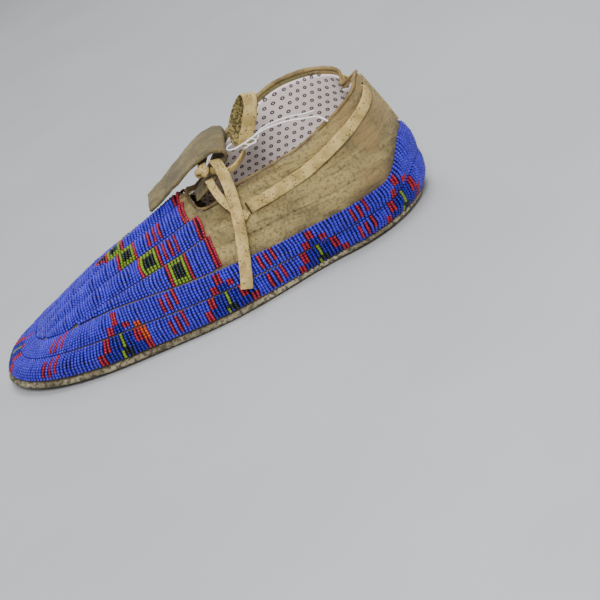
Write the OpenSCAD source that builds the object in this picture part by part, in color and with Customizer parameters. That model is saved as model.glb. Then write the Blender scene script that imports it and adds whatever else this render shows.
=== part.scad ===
// Beaded hard-sole moccasin, left foot. Toe towards -Y, heel towards +Y, outer side of the foot
// towards +X, +Z up. The origin is on the flat underside of the sole, half way along it.

/* [Sole] */
// Length of the sole from toe to heel
sole_len = 255; // [240:1:275]
// Half of the sole's width at the ball of the foot
ball_half = 46.5; // [43:0.5:50]
// Half of the sole's width at the heel
heel_half = 37; // [34:0.5:40]
// Thickness of the rawhide
sole_t = 3; // [2:0.5:4]
// How far the rawhide curls up at the toe
toe_spring = 3.5; // [1:0.5:5]
// How far the rawhide curls up at the heel
heel_spring = 1.5; // [0:0.5:3]

/* [Upper] */
// Thickness of the hide
hide_t = 1.6; // [1.2:0.1:2]
// Height of the vamp just behind the toe
toe_height = 18; // [14:1:20]
// Rise of the vamp's ridge for each millimetre towards the instep
ridge_slope = 0.292; // [0.27:0.001:0.32]
// How far the heel swells out past the sole
heel_bulge = 6; // [3:0.5:7]
// Height of the rolled raw edge round the ankle
hem_h = 2.2; // [1.5:0.1:3]

/* [Lining] */
// Thickness of the cotton lining
lining_t = 0.8; // [0.5:0.1:1.2]

/* [Beadwork] */
// Width of one lane of beads over the vamp
lane_w = 12.6; // [11:0.1:13]
// Thickness of the layer of beads
bead_t = 1.8; // [1.4:0.1:2]
// Space between one lane and the next
seam_w = 0.6; // [0.4:0.1:1]
// Width of a border lane along the sides of the ankle part
side_lane_w = 9.6; // [9:0.1:11]
// Width of a border lane at the back of the heel
heel_lane_w = 17; // [14:0.5:18]

/* [Lace] */
// Width of the hide lace
lace_w = 6.5; // [5:0.5:8]
// Width of the lace where it is pulled open in the bow loop
loop_w = 7.2; // [5:0.1:8]
// Thickness of the hide lace
lace_t = 1.4; // [1:0.1:1.8]
// Diameter of the tag thread
thread_d = 0.9; // [0.8:0.1:1.2]

/* [Hidden] */

// The outline: toe and heel are superellipse quarters, the waist runs between them.
toe_len = 84.5;
toe_square = 2.3;
heel_len = 48;
toe_share = 0.34;
heel_share = 0.82;
instep_bulge = 5;
toe_y = -sole_len / 2 + toe_len;
heel_y = sole_len / 2 - heel_len;
// The middle line swings in towards the big toe.
bend_x = 5;
bend_y = 35;
toe_swing = 9;
// The sole's flat underside stops this far inside its edge, and the edge rises from there.
curl_w = 9;
min_lift = 1;
// The upper is stitched this far inside the sole's edge.
inset = 1.5;

// The throat, where the vamp ends and the ankle opening starts.
throat_y = 12;
throat_t = toe_share + (heel_share - toe_share) * (throat_y - toe_y) / (heel_y - toe_y);
crest_half = 2;
toe_crown = 2;
throat_crown = 1.45;
side_bulge = 2.5;
// The rim's inner edge is lower than its outer edge by this share of the wall's thickness.
rim_slant = 0.3;
// Surfaces that lie on each other stay this far apart.
gap = 0.4;

// Edge of the ankle opening on the outer side: outline share, then x, y and z from the middle line.
outer_rim = [
  [0.58, 8, 13, 57], [0.60, 14, 17, 52], [0.64, 16, 27, 52.5], [0.69, 17, 39, 56.5],
  [0.74, 21, 53, 59], [0.79, 25, 68, 62], [0.82, 26, 79, 63.5], [0.87, 25.5, 94, 68],
  [0.91, 22, 106, 71], [0.95, 15, 115.5, 74], [0.98, 7, 119.5, 77], [1, 0, 121, 76.5]
];
// The same on the inner side, which stands higher and is pinched in beside the heel.
inner_rim = [
  [0.58, 8, 13, 57.5], [0.60, 14, 17, 55], [0.64, 19, 27, 60], [0.69, 24, 40, 69],
  [0.74, 27, 55, 76], [0.79, 29, 70, 80.5], [0.82, 29, 82, 82], [0.87, 27, 96, 81],
  [0.91, 22, 107, 78.5], [0.95, 14, 113, 76], [0.975, 9, 112, 71], [1, 0, 121, 76.5]
];

// Rows of beads over the vamp: where each lane starts at the toe and ends at the instep.
lane_toe_y = [-52, -76, -90, -95, -90, -76, -52];
lane_end_y = [17, 15, 10, 8, 10, 15, 17];
// The lanes are this much narrower at the toe than at the instep.
lane_taper = 0.2;
taper_from = 0;
taper_run = 80;
// The lowest row of beads starts this far up the wall.
bead_foot = 1.1;

// Turning point of the tongue, where it folds forward over itself.
fold_y = 41;
fold_z = 76;
tongue_t = 1.5;

// The free end of the lace hangs from the knot over the outer side.
end_route = [
  [18, 35.8, 71.6], [21.5, 37, 70.8], [26.5, 38, 65.5], [30.5, 37.5, 57.5], [35, 36, 49],
  [41, 33.5, 39.5], [47.5, 30, 29.5], [52.5, 26.5, 20.5], [54.5, 24, 15]
];
// The standing loop of the bow.
loop_route = [
  [8.5, 50.5, 69.8], [6, 51, 76], [4.5, 55.5, 83], [6, 62.3, 90], [10, 66.3, 92.5],
  [12.5, 65.2, 87.5], [13.5, 59.5, 78.5], [12.5, 52.5, 69.8]
];
// Which way the loop's flat side is turned, at its first and last end.
loop_flat = [[-0.2, 0.9, -0.3], [-0.1, 0.87, -0.43]];
// The lace's short runs in front: from a slit to the knot on the outer side, and over the tongue.
outer_front_route = [[35, 40, 42.5], [32, 35, 47], [27.5, 31, 54], [24, 29.5, 60], [21, 29, 64.5]];
inner_front_route = [
  [-29.5, 42, 54], [-27, 38, 62], [-20.5, 34, 69.5], [-12, 31.5, 70.5], [0, 30, 70.8], [13.2, 28, 70.2]
];
// From the knot round the tongue's edge to the foot of the loop.
knot_route = [[19, 32, 68], [21, 37, 65], [21, 42.5, 64.5], [17.5, 47, 65], [10.5, 51, 66]];
knot_at = [18, 28, 69];
// The thread is tied round the foot of the loop, and its tail rests on the rim.
ring_at = [10.5, 52.4, 70.8];
ring_r = [6.6, 9];
ring_rise = 0.9;
tail_route = [
  [18, 56, 73], [19.3, 61, 74.5], [21.5, 68, 76], [23.5, 78, 75.5], [25.5, 87, 73.5], [29, 94, 72.4],
  [33.5, 98, 69.5]
];

function clamp(u) = max(0, min(1, u));
function ease(u) = let(v = clamp(u)) v * v * (3 - 2 * v);
function mix(a, b, u) = a + (b - a) * u;
function power(v, e) = v <= 0 ? 0 : pow(v, e);
function unit(v) = v / max(norm(v), 0.000001);

// Catmull-Rom curve through the points, at position s counted in points.
function spline(p, s) =
  let(
    last = len(p) - 1,
    i = min(floor(s), last - 1),
    u = s - i,
    a = p[max(i - 1, 0)],
    b = p[i],
    c = p[i + 1],
    d = p[min(i + 2, last)]
  )
  0.5 * (2 * b + (c - a) * u + (2 * a - 5 * b + 4 * c - d) * u * u + (3 * b - a - 3 * c + d) * u * u * u);
function smooth(p, steps) = [for (i = [0 : (len(p) - 1) * steps]) spline(p, i / steps)];

// Height of the sole's lower edge, and the middle line, at a place along the shoe.
function lift(y) = min_lift + (y < 0 ? toe_spring : heel_spring) * pow(2 * y / sole_len, 2);
function mid_x(y) = bend_x - toe_swing * pow((y - bend_y) / (sole_len / 2 + bend_y), 2);
function ridge_z(y) = toe_height + ridge_slope * (y + sole_len / 2);
function crown_power(y) = mix(toe_crown, throat_crown, clamp((y + sole_len / 2) / (throat_y + sole_len / 2)));
function crown(r, n) = power(1 - power(r, n), 1 / n);
function base_z(y) = lift(y) + sole_t;

// Outline at share t of the way from toe to heel, before the bend, grown by off.
function outline(t, off) =
  t < toe_share
    ? let(a = 90 * t / toe_share)
      [
        (ball_half + off) * power(sin(a), 2 / toe_square),
        toe_y - (toe_len + off) * power(cos(a), 2 / toe_square)
      ]
    : t > heel_share
      ? let(a = 90 * (1 - t) / (1 - heel_share)) [(heel_half + off) * sin(a), heel_y + (heel_len + off) * cos(a)]
      : let(u = (t - toe_share) / (heel_share - toe_share))
        [mix(ball_half, heel_half, ease(u)) + instep_bulge * pow(sin(180 * u), 2) + off, mix(toe_y, heel_y, u)];
function hub(t) = [0, t < toe_share ? toe_y : t > heel_share ? heel_y : outline(t, 0)[1]];

// A station is [t, x, y, z, open]: its share of the outline and the top of its wall.
function crest_station(t) =
  let(h = hub(t), b = outline(t, 0), p = h + unit(b - h) * crest_half) [t, p[0], p[1], ridge_z(p[1]), 0];
function rim_table(side) =
  concat([let(s = crest_station(throat_t)) [s[0], s[1], s[2], s[3]]], side > 0 ? outer_rim : inner_rim);
function rim_stations(side, steps) =
  [for (p = smooth(rim_table(side), steps)) [min(p[0], 1), max(p[1], 0), p[2], p[3] - hem_h, 1]];
function front_stations(n) = [for (i = [0 : n - 1]) crest_station(throat_t * i / n)];
function stations(side, n, steps) = concat(front_stations(n), rim_stations(side, steps));

// Point of the wall at radius share a, from 0 at the top to 1 at the sole, grown by off.
function wall_point(side, s, a, off) =
  let(
    h = hub(s[0]),
    b = outline(s[0], off - inset),
    foot = [s[1], s[2]],
    out = unit(b - h),
    top = foot + unit(foot - h) * off * s[4],
    ratio = min(norm(foot - h) / norm(b - h), 0.98),
    r = mix(ratio, 1, a),
    bare = top + (b - top) * a,
    n = crown_power(bare[1]),
    rise = s[4] > 0 ? crown(r, n) / crown(ratio, n) : crown(r, n),
    zb = base_z(s[4] > 0 ? b[1] : bare[1]),
    zt = s[4] > 0 ? s[3] + rim_slant * off : ridge_z(bare[1]) + off,
    swell = side_bulge * ease((s[0] - throat_t) / 0.2) + (heel_bulge - side_bulge) * ease((s[0] - 0.85) / 0.15),
    p = bare + out * swell * sin(180 * pow(clamp(rise), 0.6)) * s[4]
  )
  [side * p[0] + mid_x(p[1]), p[1], zb + (zt - zb) * rise];

// Samples from the sole up, closer together where the wall bends most.
function shares(n) = [for (i = [0 : n]) pow(cos(90 * i / n), 1.3)];
function wall(side, s, n, off) = [for (a = shares(n)) wall_point(side, s, a, off)];

// Lengths along a run of points, and the point at a length.
function runs(p) = [for (i = 0, d = 0; i < len(p); d = d + norm(p[min(i + 1, len(p) - 1)] - p[i]), i = i + 1) d];
function along(p, r, d) = [for (c = [0 : 2]) lookup(d, [for (i = [0 : len(p) - 1]) [r[i], p[i][c]]])];

// Outward direction across a wall, at a length up it.
function outward(p, r, d) =
  let(t = along(p, r, d + 1) - along(p, r, d - 1), h = unit([p[0][0] - p[len(p) - 1][0], p[0][1] - p[len(p) - 1][1]]))
  unit([h[0] * t[2], h[1] * t[2], -(h[0] * t[0] + h[1] * t[1])]);

// Ring of a strip that lies on the wall between two lengths up it.
function strip_ring(p, d0, d1, t, n) =
  let(r = runs(p), at = [for (i = [0 : n]) mix(d0, d1, i / n)])
  concat(
    [for (d = at) along(p, r, d) + outward(p, r, d) * gap],
    [for (i = [n : -1 : 0]) along(p, r, at[i]) + outward(p, r, at[i]) * (gap + t)]
  );

function turned(r) = [for (i = [len(r) - 1 : -1 : 0]) r[i]];

// Closed solid through rings of points; the run of rings is closed too, or ends in caps.
module skin(rings, closed) {
  n = len(rings[0]);
  m = len(rings);
  sides = [
    for (i = [0 : closed ? m - 1 : m - 2], j = [0 : n - 1])
      let(k = (j + 1) % n, up = (i + 1) % m) each [
        [i * n + j, i * n + k, up * n + k],
        [i * n + j, up * n + k, up * n + j]
      ]
  ];
  caps = closed ? [] : [[for (j = [n - 1 : -1 : 0]) j], [for (j = [0 : n - 1]) (m - 1) * n + j]];
  polyhedron(points = [for (ring = rings) each ring], faces = concat(sides, caps));
}

// All stations once round the shoe: outer side from toe to heel, then inner side back.
function round_trip(n, steps) =
  let(a = stations(1, n, steps), b = stations(-1, n, steps))
  concat([for (s = a) [1, s]], [for (i = [len(b) - 2 : -1 : 1]) [-1, b[i]]]);

module sole() {
  t_steps = 40;
  levels = [[-curl_w, 0, sole_t], [0, 1, sole_t], [0, 1, 0], [-curl_w, 0, 0]];
  function edge(side, t, v) =
    let(p = outline(t, v[0])) [side * p[0] + mid_x(p[1]), p[1], v[1] * lift(p[1]) + v[2]];
  rings = [
    for (v = levels) concat(
      [for (i = [0 : t_steps]) edge(1, i / t_steps, v)],
      [for (i = [t_steps - 1 : -1 : 1]) edge(-1, i / t_steps, v)]
    )
  ];
  color([0.59, 0.53, 0.39]) skin(rings, false);
}

// The hide over the front of the foot, closed over its ridge and cut off at the throat.
module upper_vamp() {
  n_up = 10;
  n_front = 16;
  run = concat(front_stations(n_front), [rim_stations(1, 2)[0]]);
  trip = concat([for (i = [n_front : -1 : 1]) [-1, run[i]]], [for (s = run) [1, s]]);
  m = len(trip);
  row = n_up + 1;
  outside = [for (s = trip) each wall(s[0], s[1], n_up, 0)];
  inside = [for (s = trip) each wall(s[0], s[1], n_up, -hide_t)];
  half = m * row;
  end = (m - 1) * row;
  function quad(a, b, c, d) = [[a, b, c], [a, c, d]];
  walls = [
    for (i = [0 : m - 2], j = [0 : n_up - 1])
      let(k = i + 1) each concat(
        quad(i * row + j, i * row + j + 1, k * row + j + 1, k * row + j),
        quad(half + k * row + j, half + k * row + j + 1, half + i * row + j + 1, half + i * row + j)
      )
  ];
  feet = [
    for (i = [0 : m - 2]) let(k = i + 1) each quad(i * row, k * row, half + k * row, half + i * row)
  ];
  cuts = [
    for (j = [0 : n_up - 1]) each concat(
      quad(end + j, end + j + 1, half + end + j + 1, half + end + j),
      quad(j + 1, j, half + j, half + j + 1)
    )
  ];
  function top(i) = (n_front + i) * row + n_up;
  ridge = [
    for (i = [0 : n_front - 1]) each concat(
      i == 0 ? [[top(0), top(-1), top(1)]] : quad(top(i), top(-i), top(-i - 1), top(i + 1)),
      i == 0 ? [[half + top(0), half + top(1), half + top(-1)]]
        : quad(half + top(i + 1), half + top(-i - 1), half + top(-i), half + top(i))
    )
  ];
  throat = quad(top(n_front), top(-n_front), half + top(-n_front), half + top(n_front));
  color([0.66, 0.6, 0.46])
    polyhedron(points = concat(outside, inside), faces = concat(walls, feet, cuts, ridge, throat));
}

// One side of the ankle part, from the throat to the seam at the heel.
module upper_quarter(side) {
  n_up = 10;
  rings = [
    for (s = rim_stations(side, 2))
      concat(wall(side, s, n_up, 0), turned(wall(side, s, n_up, -hide_t)))
  ];
  color([0.64, 0.58, 0.44]) skin([for (r = rings) side > 0 ? r : turned(r)], false);
}

// The raw edge of the hide, rolled over all round the opening.
module rim_hem() {
  rim_steps = 3;
  clear = 0.3;
  function section(side, s) =
    let(
      o = wall_point(side, s, 0, 0.4),
      i = wall_point(side, s, 0, -hide_t - 0.2),
      h = [0, 0, hem_h - clear],
      b = [0, 0, clear]
    )
    [i + b, o + b, o + b + h * 0.75, mix(o, i, 0.3) + b + h, mix(o, i, 0.7) + b + h, i + b + h * 0.75];
  a = rim_stations(1, rim_steps);
  b = rim_stations(-1, rim_steps);
  rings = concat([for (s = a) section(1, s)], [for (i = [len(b) - 2 : -1 : 0]) section(-1, b[i])]);
  color([0.7, 0.57, 0.28]) skin(rings, false);
}

// Welt over the seam that closes the upper at the back of the heel.
module heel_seam() {
  seam_half = 1.5;
  seam_t = 1.2;
  from = heel_lane_w * 2 + 4;
  p = wall(1, rim_stations(1, 1)[len(outer_rim)], 24, 0);
  r = runs(p);
  rings = [
    for (i = [0 : 6])
      let(d = mix(from, r[24] - 1.5, i / 6), c = along(p, r, d), o = outward(p, r, d), w = [seam_half, 0, 0])
      [c - w + o * gap, c + w + o * gap, c + w + o * (gap + seam_t), c - w + o * (gap + seam_t)]
  ];
  color([0.62, 0.53, 0.36]) skin([for (r = rings) turned(r)], false);
}

// Cotton lining inside the ankle part and the quarters.
module lining() {
  n_up = 8;
  skip = 3;
  top_a = 0.03;
  low_a = 0.93;
  function section(side, s) =
    concat(
      [for (i = [0 : n_up]) wall_point(side, s, mix(low_a, top_a, i / n_up), -hide_t - gap)],
      [for (i = [n_up : -1 : 0]) wall_point(side, s, mix(low_a, top_a, i / n_up), -hide_t - gap - lining_t)]
    );
  a = rim_stations(1, 2);
  b = rim_stations(-1, 2);
  rings = concat(
    [for (i = [skip : len(a) - 1]) section(1, a[i])],
    [for (i = [len(b) - 2 : -1 : skip]) section(-1, b[i])]
  );
  color([0.88, 0.84, 0.84]) skin(rings, false);
}

// Ring of a bent sheet between two edges, hollow side down.
function sheet_ring(near, far, sag, t, n) =
  let(top = [for (i = [0 : n]) mix(near, far, i / n) - [0, 0, sag * pow(2 * i / n - 1, 2)]])
  concat(top, [for (i = [n : -1 : 0]) top[i] - [0, 0, t]]);

// Lower half of the tongue, from under the end of the vamp up to the fold.
module tongue_base() {
  root_y = 16;
  root_z = 55;
  rings = [
    for (i = [0 : 8])
      let(
        u = i / 8,
        y = mix(root_y, fold_y - 1, u),
        z = mix(root_z, fold_z - 3.6, pow(u, 1.15)),
        half = mix(7, 15, ease(u * 1.1)),
        c = mix(2, 2.5, u)
      )
      sheet_ring([c + half, y, z], [c - half, y, z], mix(1.5, 2.5, u), tongue_t, 6)
  ];
  color([0.62, 0.56, 0.44]) skin(rings, false);
}

// Upper half of the tongue, folded forward so that its tip rests on the vamp.
module tongue_flap() {
  profile = [[fold_y + 0.5, fold_z - 0.3], [38, 77.5], [33, 77.5], [24, 74.5], [12, 68], [0, 61.5], [-9, 57.5]];
  line = smooth(profile, 2);
  rings = [
    for (i = [0 : len(line) - 1])
      let(u = i / (len(line) - 1), p = line[i])
      sheet_ring(
        [mix(20, 5, pow(u, 1.3)), p[0], p[1] - 0.5 * u],
        [mix(-17, -11, u), p[0], p[1] + 2.5 * u],
        mix(0.8, 0.2, u), tongue_t, 6
      )
  ];
  color([0.66, 0.6, 0.46]) skin([for (r = rings) turned(r)], false);
}

// Lace through two slits, along one side below the rim.
module lace_side(side) {
  first = 8;
  last = 22;
  s = rim_stations(side, 2);
  rings = [
    for (i = [first : last])
      let(p = wall(side, s[i], 24, 0), r = runs(p), d = r[24] - mix(13, 7.5, (i - first) / (last - first)))
      strip_ring(p, d - lace_w / 2, d + lace_w / 2, lace_t, 2)
  ];
  color([0.8, 0.7, 0.5])
    skin([for (r = rings) side > 0 ? turned(r) : r], false);
}

// Flat lace through the points of a route; flat gives the way its width lies.
module strap(route, flat, w, t) {
  line = smooth(route, 4);
  last = len(line) - 1;
  half = w / 2;
  section = [
    [half, t / 4], [half - t / 4, t / 2], [t / 4 - half, t / 2], [-half, t / 4],
    [-half, -t / 4], [t / 4 - half, -t / 2], [half - t / 4, -t / 2], [half, -t / 4]
  ];
  rings = [
    for (i = [0 : last])
      let(
        run = unit(line[min(i + 1, last)] - line[max(i - 1, 0)]),
        f = mix(flat[0], flat[1], i / last),
        across = unit(f - run * (f * run)),
        up = cross(run, across)
      )
      [for (q = section) line[i] + across * q[0] - up * q[1]]
  ];
  skin(rings, false);
}

module lace_front_outer() {
  color([0.76, 0.66, 0.46]) strap(outer_front_route, [[0, 1, -0.3], [0, 1, -0.3]], 4.5, lace_t);
}

module lace_front_inner() {
  color([0.76, 0.66, 0.46]) strap(inner_front_route, [[0, 1, 0], [0, 1, 0]], 5, lace_t);
}

// The knot on the outer edge of the tongue, with the lace that goes on to the foot of the loop.
module lace_knot() {
  knot_r = 3.2;
  lump = 1.4;
  color([0.72, 0.6, 0.38]) {
    hull() {
      translate(knot_at - [lump, 2, -0.4]) sphere(r = knot_r, $fn = 24);
      translate(knot_at + [lump, 2, -0.6]) sphere(r = knot_r, $fn = 24);
    }
    strap(knot_route, [[0.5, 0.5, 1], [0.3, 0.3, 1]], 4.2, lace_t);
  }
}

module lace_loop() {
  color([0.8, 0.68, 0.44]) strap(loop_route, loop_flat, loop_w, lace_t);
}

module lace_end() {
  color([0.78, 0.68, 0.48]) strap(end_route, [[-0.5, 1, -0.4], [-0.2, 1, -0.35]], lace_w, lace_t);
}

// White thread: once round the foot of the loop, then out to the rim.
module tag_thread() {
  sides = 8;
  ring = [
    for (a = [0 : 24 : 336]) ring_at + [ring_r[0] * cos(a), ring_r[1] * sin(a), ring_rise * (a / 168 - 1)]
  ];
  line = concat(ring, smooth(tail_route, 3));
  last = len(line) - 1;
  rings = [
    for (i = [0 : last])
      let(
        run = unit(line[min(i + 1, last)] - line[max(i - 1, 0)]),
        across = unit(cross(run, [0, 0, 1])),
        up = cross(across, run)
      )
      [for (j = [0 : sides - 1]) line[i] + (across * cos(360 * j / sides) + up * sin(360 * j / sides)) * thread_d / 2]
  ];
  color([0.93, 0.93, 0.94]) skin(rings, false);
}

// Lanes over the vamp follow its surface at equal widths either side of the ridge.
function vamp_reach(y) =
  y < toe_y ? (ball_half - inset) * power(1 - power((toe_y - y) / (toe_len - inset), toe_square), 1 / toe_square)
    : outline(toe_share + (heel_share - toe_share) * (y - toe_y) / (heel_y - toe_y), -inset)[0];
function vamp_z(x, y) =
  let(
    w = vamp_reach(max(y, toe_y)),
    fore = max(toe_y - y, 0) / (toe_len - inset),
    r = min(power(power(abs(x) / w, toe_square) + power(fore, toe_square), 1 / toe_square), 1),
    rho = y < toe_y ? r : abs(x) / w
  )
  base_z(y) + (ridge_z(y) - base_z(y)) * crown(min(rho, 1), crown_power(y));
function vamp_section(y) =
  let(w = vamp_reach(y)) [for (i = [0 : 30]) let(x = w * i / 30) [x, y, vamp_z(x, y)]];
function vamp_point(p, r, d, off) =
  let(
    q = along(p, r, abs(d)),
    t = along(p, r, abs(d) + 1) - along(p, r, max(abs(d) - 1, 0)),
    n = abs(d) < 1 ? [0, 0, 1] : unit([-t[2], 0, t[0]]),
    side = d < 0 ? -1 : 1
  )
  [side * (q[0] + n[0] * off) + mid_x(q[1]), q[1], q[2] + n[2] * off];

// Width of the border's lanes at share t of the outline, and how far up the wall they reach.
function border_w(t) =
  mix(mix(lane_w, side_lane_w, clamp((t - 0.33) / 0.37)), heel_lane_w, ease((t - 0.89) / 0.08));
function border_top(t) = bead_foot + 2 * (border_w(t) + seam_w);

module vamp_lane(index) {
  across = 4;
  step = 5.5;
  y0 = lane_toe_y[index];
  y1 = lane_end_y[index];
  n = ceil((y1 - y0) / step);
  rings = [
    for (i = [0 : n])
      let(
        y = mix(y0, y1, i / n),
        p = vamp_section(y),
        r = runs(p),
        k = 1 - lane_taper * clamp((taper_from - y) / taper_run),
        room = r[len(r) - 1] - border_top(toe_share),
        at = [
          for (j = [0 : across])
            max(-room, min(room, k * ((index - 3) * (lane_w + seam_w) + lane_w * (j / across - 0.5))))
        ]
      )
      concat(
        [for (j = [across : -1 : 0]) vamp_point(p, r, at[across - j], gap + bead_t)],
        [for (d = turned(at)) vamp_point(p, r, d, gap)]
      )
  ];
  color([0.33, 0.39, 0.86]) skin([for (r = rings) turned(r)], false);
}

// The two lanes round the whole shoe, one above the other.
module border_lane(level) {
  trip = round_trip(34, 4);
  rings = [
    for (s = trip)
      let(
        w = border_w(s[1][0]),
        p = wall(s[0], s[1], 24, 0),
        d = bead_foot + level * (w + seam_w)
      )
      strip_ring(p, d, d + w, bead_t, 3)
  ];
  color([0.33, 0.39, 0.86]) skin([for (r = rings) turned(r)], true);
}

sole();
upper_vamp();
upper_quarter(1);  // upper_outer
upper_quarter(-1);  // upper_inner
rim_hem();
heel_seam();
lining();
tongue_base();
tongue_flap();
lace_side(1);  // lace_side_outer
lace_side(-1);  // lace_side_inner
lace_front_outer();
lace_front_inner();
lace_knot();
lace_loop();
lace_end();
tag_thread();
vamp_lane(0);  // vamp_lane_1
vamp_lane(1);  // vamp_lane_2
vamp_lane(2);  // vamp_lane_3
vamp_lane(3);  // vamp_lane_4
vamp_lane(4);  // vamp_lane_5
vamp_lane(5);  // vamp_lane_6
vamp_lane(6);  // vamp_lane_7
border_lane(0);  // border_lane_lower
border_lane(1);  // border_lane_upper
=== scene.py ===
"""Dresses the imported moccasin: beads, hide, rawhide, lining, tongue, lace, thread and studio."""

import math
import random
from bisect import bisect_right

import bmesh
import bpy
import numpy as np
from bpy.props import FloatProperty, FloatVectorProperty, IntProperty, PointerProperty
from bpy.types import Operator, Panel, PropertyGroup
from mathutils import Matrix, Vector, noise


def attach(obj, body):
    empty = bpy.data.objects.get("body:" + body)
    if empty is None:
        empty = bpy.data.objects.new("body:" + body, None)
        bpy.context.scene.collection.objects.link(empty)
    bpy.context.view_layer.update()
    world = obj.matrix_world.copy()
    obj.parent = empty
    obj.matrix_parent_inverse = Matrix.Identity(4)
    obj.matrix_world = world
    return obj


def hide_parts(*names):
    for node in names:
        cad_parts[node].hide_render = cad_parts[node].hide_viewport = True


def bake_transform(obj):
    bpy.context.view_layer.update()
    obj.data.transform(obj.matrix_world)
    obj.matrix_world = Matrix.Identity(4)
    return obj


bl_info = {
    "name": "Beaded Moccasin",
    "version": (1, 0, 0),
    "blender": (4, 5, 0),
    "location": "View3D > Sidebar > Moccasin",
    "description": "Dresses the packed moccasin with beads, hide, lining, tongue and lace",
    "category": "Add Mesh",
}

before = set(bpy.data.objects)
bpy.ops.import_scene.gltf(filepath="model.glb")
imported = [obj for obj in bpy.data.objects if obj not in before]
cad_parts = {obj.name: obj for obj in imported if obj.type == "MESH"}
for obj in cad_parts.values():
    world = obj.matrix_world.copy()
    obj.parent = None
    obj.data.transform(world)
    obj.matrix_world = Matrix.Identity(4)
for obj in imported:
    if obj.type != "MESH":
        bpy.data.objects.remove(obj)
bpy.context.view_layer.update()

# Sizes below are in millimetres; the meshes are in metres.
MM = 0.001

# ---- The shoe's shape, the same as the frame's ----
SOLE_LEN = 255.0
HALF_LEN = SOLE_LEN / 2
BALL_HALF = 46.5
HEEL_HALF = 37.0
SOLE_T = 3.0
TOE_SPRING = 3.5
HEEL_SPRING = 1.5
HIDE_T = 1.6
TOE_HEIGHT = 18.0
RIDGE_SLOPE = 0.292
HEEL_BULGE = 6.0
SIDE_BULGE = 2.5
HEM_H = 2.2
LINING_T = 0.8
LANE_W = 12.6
SIDE_LANE_W = 9.6
HEEL_LANE_W = 17.0
SEAM_W = 0.6
BEAD_T = 1.8
LACE_W = 6.5
LOOP_W = 7.2
LACE_T = 1.4
THREAD_D = 0.9
TOE_LEN = 84.5
TOE_SQUARE = 2.3
HEEL_LEN = 48.0
TOE_SHARE = 0.34
HEEL_SHARE = 0.82
INSTEP_BULGE = 5.0
TOE_Y = -HALF_LEN + TOE_LEN
HEEL_Y = HALF_LEN - HEEL_LEN
BEND_X = 5.0
BEND_Y = 35.0
TOE_SWING = 9.0
CURL_W = 9.0
MIN_LIFT = 1.0
INSET = 1.5
THROAT_Y = 12.0
THROAT_T = TOE_SHARE + (HEEL_SHARE - TOE_SHARE) * (THROAT_Y - TOE_Y) / (HEEL_Y - TOE_Y)
CREST_HALF = 2.0
TOE_CROWN = 2.0
THROAT_CROWN = 1.45
RIM_SLANT = 0.3
GAP = 0.4
BEAD_FOOT = 1.1
LANE_TAPER = 0.2
TAPER_RUN = 80.0
# Sheet of painted shade under the beads, so the gaps between the rows look dark.
GAP_SHADE_T = 0.4
GAP_SHADE_UP = 0.75
GAP_SHADE_INSET = 0.2
LANE_END_Y = (17, 15, 10, 8, 10, 15, 17)
OUTER_RIM = (
    (0.58, 8, 13, 57), (0.60, 14, 17, 52), (0.64, 16, 27, 52.5), (0.69, 17, 39, 56.5),
    (0.74, 21, 53, 59), (0.79, 25, 68, 62), (0.82, 26, 79, 63.5), (0.87, 25.5, 94, 68),
    (0.91, 22, 106, 71), (0.95, 15, 115.5, 74), (0.98, 7, 119.5, 77), (1, 0, 121, 76.5),
)
INNER_RIM = (
    (0.58, 8, 13, 57.5), (0.60, 14, 17, 55), (0.64, 19, 27, 60), (0.69, 24, 40, 69),
    (0.74, 27, 55, 76), (0.79, 29, 70, 80.5), (0.82, 29, 82, 82), (0.87, 27, 96, 81),
    (0.91, 22, 107, 78.5), (0.95, 14, 113, 76), (0.975, 9, 112, 71), (1, 0, 121, 76.5),
)
FOLD_Y = 41.0
FOLD_Z = 76.0
TONGUE_T = 1.5
END_ROUTE = (
    (18, 35.8, 71.6), (21.5, 37, 70.8), (26.5, 38, 65.5), (30.5, 37.5, 57.5), (35, 36, 49),
    (41, 33.5, 39.5), (47.5, 30, 29.5), (52.5, 26.5, 20.5), (54.5, 24, 15),
)
LOOP_ROUTE = (
    (8.5, 50.5, 69.8), (6, 51, 76), (4.5, 55.5, 83), (6, 62.3, 90), (10, 66.3, 92.5),
    (12.5, 65.2, 87.5), (13.5, 59.5, 78.5), (12.5, 52.5, 69.8),
)
LOOP_FLAT = ((-0.2, 0.9, -0.3), (-0.1, 0.87, -0.43))
OUTER_FRONT_ROUTE = ((35, 40, 42.5), (32, 35, 47), (27.5, 31, 54), (24, 29.5, 60), (21, 29, 64.5))
OUTER_FRONT_W = 4.5
INNER_FRONT_ROUTE = (
    (-29.5, 42, 54), (-27, 38, 62), (-20.5, 34, 69.5), (-12, 31.5, 70.5), (0, 30, 70.8), (13.2, 28, 70.2),
)
INNER_FRONT_W = 5
SIDE_INSET = (13, 7.5)
KNOT_ROUTE = ((19, 32, 68), (21, 37, 65), (21, 42.5, 64.5), (17.5, 47, 65), (10.5, 51, 66))
KNOT_TAIL_W = 4.2
KNOT_AT = Vector((18, 28, 69))
RING_AT = Vector((10.5, 52.4, 70.8))
RING_R = (6.6, 9.0)
RING_RISE = 0.9
TAIL_ROUTE = (
    (18, 56, 73), (19.3, 61, 74.5), (21.5, 68, 76), (23.5, 78, 75.5), (25.5, 87, 73.5), (29, 94, 72.4),
    (33.5, 98, 69.5),
)
SECOND_TAIL_ROUTE = (
    (17.6, 55.5, 72.6), (18.6, 60, 74.2), (20.2, 66, 76.6), (21.6, 74, 77.3), (22.6, 82, 76.4),
    (25.2, 88, 75.6), (27.2, 94, 75.4),
)
THREAD_BOW_ROUTE = (
    (17.9, 55.8, 72.9), (20.8, 54.4, 73.4), (23.6, 56.4, 73.2), (23.8, 59.6, 72.6), (21.2, 60.2, 73.2),
    (18.8, 57.6, 73.8), (17.7, 55.4, 73.2),
)

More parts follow.
